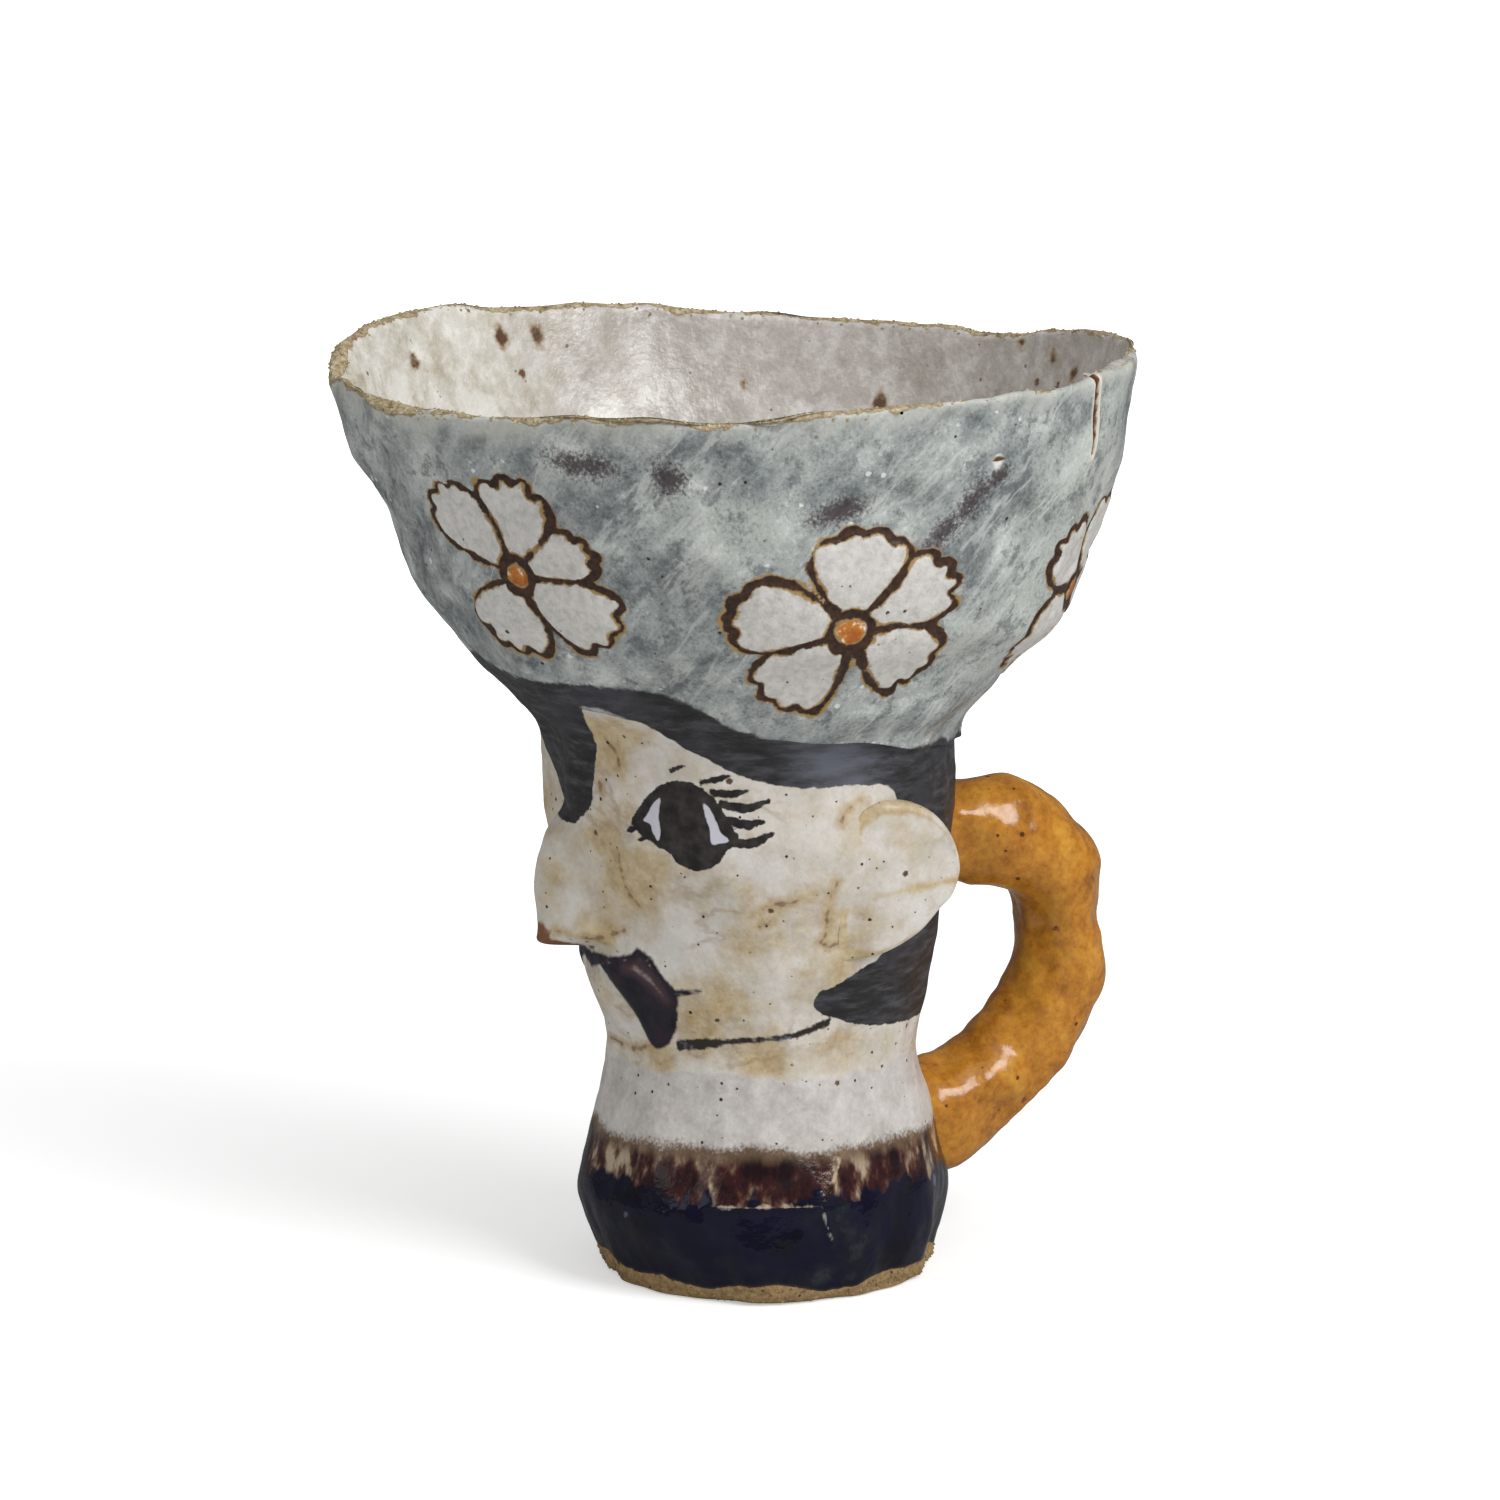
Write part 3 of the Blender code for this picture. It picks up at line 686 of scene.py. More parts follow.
def smears(tree, spot, sizeMm, code, under, share):
    # soft broken lines where the glaze parted, only here and there
    noises = []
    for patchMm, detail in ((sizeMm, 4.0), (sizeMm * 1.7, 1.0)):
        noises.append(addNode(tree, "ShaderNodeTexNoise", {}, patchesOf(spot, patchMm, detail))[0])
    line = addNode(tree, "ShaderNodeMath", {"operation": "SUBTRACT"}, {0: noises[0], 1: 0.5})[0]
    line = addNode(tree, "ShaderNodeMath", {"operation": "ABSOLUTE"}, {0: line})[0]
    covers = []
    for value, low, high, start, end in (
        (line, 0.0, 0.055, 1.0, 0.0),
        (noises[1], 0.48, 0.62, 0.0, share),
    ):
        feeds = fromTo(value, low, high, start, end)
        covers.append(addNode(tree, "ShaderNodeMapRange", softStep, feeds)[0])
    feeds = {0: covers[0], 1: covers[1]}
    cover = addNode(tree, "ShaderNodeMath", {"operation": "MULTIPLY"}, feeds)[0]
    return addNode(tree, "ShaderNodeMix", {"data_type": "RGBA"}, {0: cover, 6: under, 7: code})[2]


def fireGlaze(tree, spot, colour, dull, bumps):
    # each bump is a grain size and a height in mm
    normal = None
    for sizeMm, heightMm in bumps:
        noise = addNode(tree, "ShaderNodeTexNoise", {}, patchesOf(spot, sizeMm))[0]
        feeds = {"Height": noise, "Strength": 1.0, "Distance": heightMm * mm}
        if normal is not None:
            feeds["Normal"] = normal
        normal = addNode(tree, "ShaderNodeBump", {}, feeds)[0]
    shader = tree.nodes["Principled BSDF"]
    for socket, source in (("Base Color", colour), ("Roughness", dull), ("Normal", normal)):
        if isinstance(source, float):
            shader.inputs[socket].default_value = source
        else:
            tree.links.new(source, shader.inputs[socket])


def liningColours(tree, spot):
    # white glaze inside: olive and shiny towards the face, lavender grey towards the handle
    across = addNode(tree, "ShaderNodeSeparateXYZ", {}, {"Vector": spot})["Y"]
    across = uneven(tree, spot, 22, 0.05, across)
    olives = [(0.34, "#a9a086"), (0.47, "#cfcabb"), (0.6, "#e8e6df")]
    lavenders = [(0.34, "#a79f99"), (0.5, "#b7b0ad"), (0.66, "#c9c4c1")]
    warm = mottle(tree, spot, 9, olives, 5.0, 0.65)
    cool = mottle(tree, spot, 10, lavenders, 5.0, 0.65)
    colour = brushOver(tree, warm, across, cool, -0.012, 0.028, 0.0, 1.0)
    lumps = [(0.36, "#9d9585"), (0.5, "#beb8af"), (0.6, "#e4e2dc")]
    colour = mottleOver(tree, colour, 0.34, spot, 2.4, lumps, 5.0, 0.7)
    colour = specks(tree, spot, 5.5, 1.5, "#704f36", colour, 4.4)
    return specks(tree, spot, 1.8, 0.4, "#7b7067", colour)


# Iron-black slip for the hair: dull, with the brush's own streaks in it, and a painted blue-grey
# sheen above the ear
def slipColours(tree, spot):
    lying = addNode(tree, "ShaderNodeMapping", {}, {"Vector": spot, "Scale": (0.35, 0.35, 1.6)})[0]
    streaks = [(0.36, "#232122"), (0.5, "#2f2d2f"), (0.66, "#4a4b51")]
    colour = mottle(tree, lying, 2.0, streaks, 5.0, 0.7)
    worn = addNode(tree, "ShaderNodeTexNoise", {}, patchesOf(spot, 14))[0]
    colour = brushOver(tree, colour, worn, "#41424a", 0.5, 0.66, 0.0, 0.5)
    feeds = {0: spot, 1: (0.034, -0.002, 0.0845)}  # centre of the painted sheen on the hair, above the ear
    away = addNode(tree, "ShaderNodeVectorMath", {"operation": "DISTANCE"}, feeds)["Value"]
    # painted sheen: blue-grey laid over the slip near that point
    thin = uneven(tree, lying, 2.4, 0.02, away)
    return brushOver(tree, colour, thin, "#666b76", 0.009, 0.022, 0.75, 0.0)


# Raw sandy stoneware where no glaze lies
def clayColours(tree, spot):
    sands = [(0.3, "#6b5639"), (0.48, "#957a52"), (0.7, "#b59c70")]
    colour = mottle(tree, spot, 0.9, sands, 6.0, 0.75)
    return specks(tree, spot, 0.9, 0.4, "#54402a", colour, 5.0)


# Grey-green ash glaze over stoneware, brushed on in slanting strokes: satin, cloudy and grainy.
# The petals are bare of it and show white slip; their outlines are iron oxide
def hatGlaze():
    marks = ("wash", "smudge", "petal", "heart", "hair", "dimple", "slot")
    marks += ("lip", "milk", "stain", "inside", "crack")
    material, tree, spot, painted = newGlaze("grey-green ash glaze", marks)
    flow = addNode(tree, "ShaderNodeAttribute", {"attribute_name": "flow"})["Vector"]
    noises = []
    for sizeMm, detail, rough in ((10, 6.0, 0.66), (0.55, 3.0, 0.7), (4.6, 6.0, 0.72)):
        feeds = patchesOf(spot, sizeMm, detail, rough)
        noises.append(addNode(tree, "ShaderNodeTexNoise", {}, feeds)[0])
    clouds, grain, pools = noises

    # the ash glaze itself: clouds, slanting streaks, dark pools and thin brown smudges
    greys = [(0.36, "#676c6e"), (0.46, "#8c9292"), (0.55, "#a4a9a7"), (0.66, "#c6cac6")]
    colour = addNode(tree, "ShaderNodeValToRGB", {}, {"Fac": clouds}, greys)["Color"]
    streaks = [(0.38, "#666d6c"), (0.5, "#979d9a"), (0.62, "#c6cac4")]
    colour = mottleOver(tree, colour, 0.3, flow, 4.2, streaks, 5.0, 0.65)
    washed = uneven(tree, flow, 5.0, -0.9, painted["wash"])
    colour = brushOver(tree, colour, washed, "#b6bab3", -0.4, 0.45, 0.0, 0.75)
    dense = addNode(tree, "ShaderNodeMath", timesPlus, {0: clouds, 1: 0.7, 2: grain})[0]
    colour = brushOver(tree, colour, dense, "#434a4d", 0.66, 0.86, 0.42, 0.0)
    colour = brushOver(tree, colour, pools, "#4b5255", 0.37, 0.48, 0.6, 0.0)
    colour = smears(tree, flow, 4.0, "#cdd0cb", colour, 0.45)
    colour = brushOver(tree, colour, dense, "#d3d6d2", 0.93, 1.08, 0.0, 0.5)
    smudge = wobbledEdge(tree, spot, painted["smudge"], 3.0, 1.1)
    smudge = addNode(tree, "ShaderNodeMath", timesPlus, {0: grain, 1: 2.2, 2: smudge})[0]
    colour = brushOver(tree, colour, smudge, "#3d2f33", 0.65, 1.7, 0.9, 0.0)
    colour = specks(tree, spot, 2.2, 0.55, "#d3d6d2", colour, 7.0)
    colour = specks(tree, spot, 1.9, 0.36, "#2b2826", colour, 7.0)

    # blossoms: white slip, a honey heart, and an oxide line with a tan halo
    slips = [(0.34, "#b8b5af"), (0.5, "#cac7c2"), (0.66, "#d6d3cd")]
    pale = mottle(tree, spot, 1.4, slips, 5.0, 0.7)
    pale = specks(tree, spot, 1.8, 0.4, "#4a3a30", pale, 6.0)
    petal = wobbledEdge(tree, spot, painted["petal"], 1.3, 0.7)
    colour = brushOver(tree, colour, petal, pale, 0.0, 0.3)
    heart = wobbledEdge(tree, spot, painted["heart"], 1.5, 0.6)
    honey = mottle(tree, spot, 2.2, [(0.40, "#a35a10"), (0.56, "#c67b22"), (0.62, "#e3dccf")])
    colour = brushOver(tree, colour, heart, honey, -0.9, -0.6)
    gaps = []
    for edge in (petal, heart):
        gap = addNode(tree, "ShaderNodeMath", {"operation": "ABSOLUTE"}, {0: edge})[0]
        gaps.append(gap)
    ring = addNode(tree, "ShaderNodeMath", timesPlus, {0: gaps[1], 1: 1.0, 2: -0.15})[0]
    line = addNode(tree, "ShaderNodeMath", {"operation": "MINIMUM"}, {0: gaps[0], 1: ring})[0]
    line = uneven(tree, spot, 5.0, 2.4, line, 2.0)
    line = addNode(tree, "ShaderNodeMath", timesPlus, {0: grain, 1: 0.5, 2: line})[0]
    halo = uneven(tree, spot, 3.4, 1.8, line, 2.0)
    colour = brushOver(tree, colour, halo, "#a08350", 2.95, 3.35)
    oxide = mottle(tree, spot, 0.9, [(0.35, "#2c1b15"), (0.7, "#51331f")])
    colour = brushOver(tree, colour, line, oxide, 1.85, 2.15)

    # hair that runs up from the head, and the pressed hole
    hair = wobbledEdge(tree, spot, painted["hair"], 2.2, 1.4)
    colour = brushOver(tree, colour, hair, slipColours(tree, spot), -0.1, 0.5)
    dimple = wobbledEdge(tree, spot, painted["dimple"], 1.0, 0.8)
    colour = brushOver(tree, colour, dimple, "#d9d8d2", 0.7, 1.5)
    colour = brushOver(tree, colour, painted["slot"], "#5a3a24", 0.1, 0.35)

    # lining, bare lip and opened seam
    thin = uneven(tree, flow, 7.0, 14.0, painted["lip"])
    colour = brushOver(tree, colour, thin, "#c3c3b9", 6.0, 12.0, 0.75, 0.0)
    lining = liningColours(tree, spot)
    milky = uneven(tree, spot, 3.0, 1.6, painted["milk"], 4.0, 0.65)
    lining = brushOver(tree, lining, milky, "#e6e4de", 1.1, 1.7, 0.0, 0.8)
    stain = wobbledEdge(tree, spot, painted["stain"], 1.1, 1.6)
    lining = brushOver(tree, lining, stain, "#9a8262", -0.2, 0.8)
    lining = brushOver(tree, lining, stain, "#5c4230", -0.4, 0.2)
    colour = brushOver(tree, lining, painted["inside"], colour, 0.4, 0.6)
    raw = uneven(tree, spot, 1.6, 1.6, painted["lip"])
    raw = uneven(tree, spot, 9.0, 3.4, raw, 2.0)
    sands = [(0.32, "#5f4c32"), (0.45, "#9a8864"), (0.62, "#c5b99e")]
    colour = brushOver(tree, colour, raw, "#8a734f", 3.0, 3.3)
    colour = brushOver(tree, colour, raw, mottle(tree, spot, 1.1, sands, 6.0, 0.75), 2.85, 3.1)
    crack = wobbledEdge(tree, spot, painted["crack"], 1.0, 0.3)
    colour = brushOver(tree, colour, crack, "#d3cebf", 0.35, 0.9)
    colour = brushOver(tree, colour, crack, "#6b4124", 0.02, 0.2)

    dull = addNode(tree, "ShaderNodeMapRange", softStep, fromTo(grain, 0.3, 0.7, 0.52, 0.36))[0]
    dull = addNode(tree, "ShaderNodeMath", timesPlus, {0: painted["inside"], 1: -0.12, 2: dull})[0]
    fireGlaze(tree, spot, colour, dull, [(3.5, 0.3), (0.7, 0.12)])
    return material


# Cream tin-white glaze on the face, satin, with thin ochre stains and iron spots; hair, eyes
# and lips in dull black slip; a glossy maroon and tan run of thick glaze below the neck
def headGlaze():
    marks = (*faceLayers, "ochre", "ridge", "rust", "inside")
    material, tree, spot, painted = newGlaze("cream glaze with black slip", marks)
    up = addNode(tree, "ShaderNodeSeparateXYZ", {}, {"Vector": spot})["Z"]
    height = addNode(tree, "ShaderNodeMath", {"operation": "MULTIPLY"}, {0: up, 1: 1 / mm})[0]
    hanging = addNode(tree, "ShaderNodeMapping", {}, {"Vector": spot, "Scale": (1.0, 1.0, 0.45)})[0]
    noises = []
    for where, sizeMm, detail in ((spot, 0.5, 2.0), (hanging, 3.6, 4.0)):
        noises.append(addNode(tree, "ShaderNodeTexNoise", {}, patchesOf(where, sizeMm, detail))[0])
    grain, drops = noises

    # cream face with ochre stains, smears and thin brown lines
    colour = mottle(tree, spot, 8, [(0.34, "#c3bcae"), (0.5, "#d0cac1"), (0.66, "#d7d3ce")])
    stain = mottle(tree, spot, 2.6, [(0.35, "#a3854b"), (0.65, "#c7b17f")], 5.0, 0.65)
    ochre = wobbledEdge(tree, spot, painted["ochre"], 6.0, 2.6)
    colour = brushOver(tree, colour, ochre, stain, -1.0, 0.15, 0.85, 0.0)
    feeds = {"Vector": spot, "Rotation": (0.7, 0.0, 0.0), "Scale": (0.8, 0.7, 1.2)}
    slanting = addNode(tree, "ShaderNodeMapping", {}, feeds)[0]
    colour = smears(tree, slanting, 9.0, "#8a6a38", colour, 0.4)
    wisp = uneven(tree, spot, 2.6, 2.6, painted["wisp"])
    colour = brushOver(tree, colour, wisp, "#b2935a", 1.2, 2.5, 0.65, 0.0)
    colour = brushOver(tree, colour, wisp, "#62442a", 0.95, 1.35, 0.75, 0.0)

    # pale neck, fine grain and iron spots
    neck = mottle(tree, spot, 4, [(0.35, "#b0aaa6"), (0.65, "#ccc8c4")], 5.0, 0.7)
    wavy = uneven(tree, spot, 9, 5.0, height)
    colour = brushOver(tree, colour, wavy, neck, 36.4, 37.2)
    grains = [(0.34, "#8d8474"), (0.5, "#c2bbb0"), (0.62, "#e6e1da")]
    colour = mottleOver(tree, colour, 0.13, spot, 0.9, grains, 4.0, 0.7)
    colour = specks(tree, spot, 1.2, 0.32, "#3b2d22", colour, 6.0)
    colour = specks(tree, spot, 3.0, 0.55, "#5d452c", colour, 5.0)

    # maroon and tan run, then the cobalt that climbs from the foot, and the seam's pale line
    maroons = [(0.40, "#1e0d12"), (0.50, "#3a1b1a"), (0.55, "#5d4335"), (0.63, "#ab9a82")]
    run = addNode(tree, "ShaderNodeValToRGB", {}, {"Fac": drops}, maroons)["Color"]
    upper = addNode(tree, "ShaderNodeMath", timesPlus, {0: drops, 1: 5.0, 2: height})[0]
    run = brushOver(tree, run, upper, "#6f5a45", 23.2, 25.6, 0.0, 0.8)
    ragged = addNode(tree, "ShaderNodeMath", timesPlus, {0: grain, 1: 2.6, 2: wavy})[0]
    colour = brushOver(tree, colour, ragged, run, 26.4, 28.2)
    drip = uneven(tree, hanging, 4.0, 9.0, height)
    colour = brushOver(tree, colour, drip, cobaltColours(tree, spot), 20.7, 21.9)
    ridge = uneven(tree, spot, 2.4, 2.2, painted["ridge"])
    colour = brushOver(tree, colour, ridge, "#b29f86", 1.05, 1.5)

    # hair, eyes, mouth and jaw line in slip, a painted highlight on the lips, and the nose's rusty
    # tip
    hair = wobbledEdge(tree, spot, painted["hair"], 1.4, 1.0)
    mouth = wobbledEdge(tree, spot, painted["mouth"], 1.2, 0.9)
    covers = []
    for edge, low, high in ((hair, -0.05, 0.2), (mouth, -0.3, 0.3)):
        feeds = fromTo(edge, low, high, 1.0, 0.0)
        covers.append(addNode(tree, "ShaderNodeMapRange", softStep, feeds)[0])
    feeds = {0: covers[0], 6: colour, 7: slipColours(tree, spot)}
    colour = addNode(tree, "ShaderNodeMix", {"data_type": "RGBA"}, feeds)[2]
    eye = wobbledEdge(tree, spot, painted["eye"], 1.0, 0.9)
    ink = mottle(tree, spot, 2.2, [(0.38, "#1d1a1a"), (0.66, "#3b3633")])
    colour = brushOver(tree, colour, eye, ink, -0.08, 0.14)
    white = wobbledEdge(tree, spot, painted["eyeWhite"], 0.9, 0.3)
    colour = brushOver(tree, colour, white, "#c4c3cc", -0.1, 0.12)
    plum = mottle(tree, spot, 4, [(0.4, "#15121d"), (0.52, "#1e1a29"), (0.66, "#2d1d26")])
    # painted highlight on the lips, palest along its middle
    gleam = wobbledEdge(tree, spot, painted["gleam"], 2.0, 1.2)
    plum = brushOver(tree, plum, gleam, "#4b343a", -0.9, 1.3)
    plum = brushOver(tree, plum, gleam, "#8f837d", -1.15, -0.4)
    feeds = {0: covers[1], 6: colour, 7: plum}
    colour = addNode(tree, "ShaderNodeMix", {"data_type": "RGBA"}, feeds)[2]
    jaw = wobbledEdge(tree, spot, painted["jaw"], 0.9, 1.0)
    slate = mottle(tree, spot, 7, [(0.5, "#2d2622"), (0.6, "#77808c")])
    colour = brushOver(tree, colour, jaw, slate, -0.2, 0.25)
    rust = uneven(tree, spot, 1.4, 0.7, painted["rust"])
    colour = brushOver(tree, colour, rust, "#74431d", 0.75, 1.02, 0.0, 0.95)
    colour = brushOver(tree, liningColours(tree, spot), painted["inside"], colour, 0.4, 0.6)

    dull = addNode(tree, "ShaderNodeMapRange", softStep, fromTo(drip, 24, 31, 0.2, 0.4))[0]
    for cover, finish in zip(covers, (0.5, 0.4)):
        feeds = {0: cover, 2: dull, 3: finish}
        dull = addNode(tree, "ShaderNodeMix", {"data_type": "FLOAT"}, feeds)[0]
    fireGlaze(tree, spot, colour, dull, [(2.6, 0.24), (0.7, 0.035)])
    return material


# Cobalt glaze: thick, glassy and almost black-blue, greenish where it thinned
def cobaltColours(tree, spot):
    blues = [(0.36, "#070614"), (0.52, "#0a0924"), (0.63, "#141722"), (0.72, "#272c32")]
    return specks(tree, spot, 6.0, 1.4, "#4a5166", mottle(tree, spot, 8, blues, 4.0))


# Its wavy lower edge stops short of the floor and leaves bare clay
def footGlaze(name):
    material, tree, spot, painted = newGlaze(name, ("ridge", "bare", "inside"))
    ridge = uneven(tree, spot, 2.4, 2.2, painted["ridge"])
    colour = brushOver(tree, cobaltColours(tree, spot), ridge, "#8d8a86", 0.95, 1.35)
    bare = wobbledEdge(tree, spot, painted["bare"], 3.0, 1.2)
    colour = brushOver(tree, colour, bare, "#352a24", 0.1, 0.55)
    cover = addNode(tree, "ShaderNodeMapRange", softStep, fromTo(bare, -0.1, 0.15, 1.0, 0.0))[0]
    feeds = {0: cover, 6: colour, 7: clayColours(tree, spot)}
    colour = addNode(tree, "ShaderNodeMix", {"data_type": "RGBA"}, feeds)[2]
    colour = brushOver(tree, liningColours(tree, spot), painted["inside"], colour, 0.4, 0.6)
    dull = addNode(tree, "ShaderNodeMix", {"data_type": "FLOAT"}, {0: cover, 2: 0.11, 3: 0.9})[0]
    fireGlaze(tree, spot, colour, dull, [(4.0, 0.3), (0.6, 0.03)])
    return material


# Amber iron glaze: glossy, runny, honey where thin and brown where it pooled
def handleGlaze():
    material, tree, spot, _ = newGlaze("amber iron glaze")
    honeys = [(0.32, "#7d4214"), (0.44, "#ab6a1e"), (0.55, "#c17f27"), (0.68, "#d9a03d")]
    colour = mottle(tree, spot, 6, honeys, 6.0, 0.66)
    fine = [(0.34, "#87501c"), (0.62, "#cd9236")]
    colour = mottleOver(tree, colour, 0.5, spot, 1.6, fine, 6.0, 0.75)
    colour = specks(tree, spot, 1.8, 0.45, "#5a3013", colour, 6.0)
    colour = specks(tree, spot, 6.0, 1.2, "#6e3a14", colour, 6.0)
    fireGlaze(tree, spot, colour, 0.2, [(3.4, 0.14), (0.7, 0.015)])
    return material


stoneware = footGlaze("bare sandy stoneware")
greyGreen = hatGlaze()
cream = headGlaze()
cobalt = footGlaze("dark cobalt glaze")
amber = handleGlaze()
print("glazes mixed")


# Wall rows: up the outer face, over the top, down the inner face


def stackRows(columns, low, high, shares):
    heights = low + (high - low) * np.asarray(shares)[:, None] + 0 * columns
    return np.broadcast_to(columns, heights.shape), heights, np.zeros(heights.shape)


def joinRows(*parts):
    return [np.concatenate(group) for group in zip(*parts)]


def tubeRows(columns, low, high, shares, innerRows, wall):
    outer = stackRows(columns, low, high, shares)
    turns, heights, _ = stackRows(columns, high, low, np.linspace(0, 1, innerRows))
    turn, height, inset = joinRows(outer, (turns, heights, levelWall(turns, heights, wall)))
    isInner = np.zeros(turn.shape)
    isInner[len(shares) :] = 1
    return turn, height, inset, isInner


def skinOutward(turn, height, isInner):
    return wallOutward(turn, height) * np.where(isInner > 0, -1, 1)[..., None]


noPaint = 9.0  # a distance from every painted edge


# Slab hat: a flaring bowl whose thin lip was left uneven and bare, with one opened seam

hat = {
    "columns": 600,
    "outerRows": 96,
    "lipRows": 9,
    "innerRows": 34,
    "wall": 4.0,
    "lip": 2.4,
    "overhang": 1.0,
    "mmPerDegree": 0.98,
    "corner": (-19, 8, 1.7, 1.6),  # turn, width, reach and dip of a pinched corner
    "beside": (-43, 13, 0.9),  # turn, width and depth of the hollow next to it
    "belly": (-19, 122, 22, 10, 1.3),  # turn, height, spread, tall and reach of the bulge below
    "peak": (56, 30, 1.5, 0.2),  # turn, width, rise and added bites where the lip is highest
    "glazedLip": (128, 34, 1.1),  # turn, width and reach of the glaze that ran over the lip
    "cornerFrom": (112, 140),  # heights between which the corner and the hollow grow
    "seam": {"tall": 11.6, "lean": 0.09, "width": 1.1, "depth": 1.6, "lips": 0.25},
    "seamColumns": (2.4, 3.2),  # degrees to each side, and how many times as close
    "dimple": (106.6, 129.9, 1.7, 0.7),  # turn, height, radius and depth
    "smudges": [  # turn, height, spread in mm along and across, and slant in degrees
        (46, 130.5, 5.5, 2.0, -8), (57.5, 129, 2.6, 2.8, 0), (81, 124, 4.6, 1.9, 12),
        (98, 120, 4.2, 2.0, 48), (102.5, 124.5, 4.4, 2.2, 50), (107, 127.6, 2.4, 1.5, 20),
        (165, 127, 6, 2.4, 20), (214, 124, 5, 3, -30), (236, 128, 4, 2, 10),
        (281, 125, 6, 2.6, 40), (335, 127, 5, 2.4, -15),
    ],
    "washes": [  # turn, height, spread in degrees, tall
        (134, 120, 20, 17), (66, 121, 9, 6), (118, 101, 16, 7), (262, 118, 22, 14),
        (190, 128, 14, 8),
    ],
    "stains": [  # iron spots in the lining: turn, height, half sizes in mm along and up
        (287, 136.3, 0.8, 1.6), (293.5, 136.5, 1.0, 1.4), (315, 135, 1.0, 1.1),
        (227, 125, 1.1, 1.5), (199, 136, 1.0, 0.8), (190, 135.4, 0.9, 1.0),
        (184, 133.2, 0.8, 1.2), (252, 127, 0.7, 0.7), (20, 126, 1.0, 1.3),
        (110, 124, 1.1, 0.9), (150, 129, 0.8, 1.1),
    ],
    "milk": [  # thick white glaze inside: turn, height, spread in degrees, tall
        (303, 126, 7, 6), (322, 131, 6, 4), (278, 123, 6, 5), (240, 120, 9, 5),
    ],
    "bites": 1.3,  # how far the uneven lip dips below its wave
    "seed": 11,
}


def raggedLip(turn):
    draw = np.random.default_rng(hat["seed"])
    dip = 0 * turn
    for count in (5, 8, 13, 21, 34):
        wave = np.cos(np.radians(count * turn + draw.uniform(0, 360)))
        dip = dip + wave * (5 / count) ** 0.8
    return -hat["bites"] * ease(-1.6, 2.4, dip)


def smudgeEdge(turn, height):
    edge = np.full(turn.shape, 1.0)
    for spotTurn, spotHeight, wide, tall, slant in hat["smudges"]:
        along = aroundGap(turn, spotTurn) * hat["mmPerDegree"]
        up = height - spotHeight
        cos, sin = math.cos(math.radians(slant)), math.sin(math.radians(slant))
        away = np.hypot((along * cos + up * sin) / wide, (up * cos - along * sin) / tall)
        edge = np.minimum(edge, away - 0.75)
    return edge


def stainEdge(turn, height):
    edge = np.full(turn.shape, noPaint)
    for spotTurn, spotHeight, wide, tall in hat["stains"]:
        along = aroundGap(turn, spotTurn) * hat["mmPerDegree"]
        edge = np.minimum(edge, np.hypot(along / wide, (height - spotHeight) / tall) - 1)
    return edge


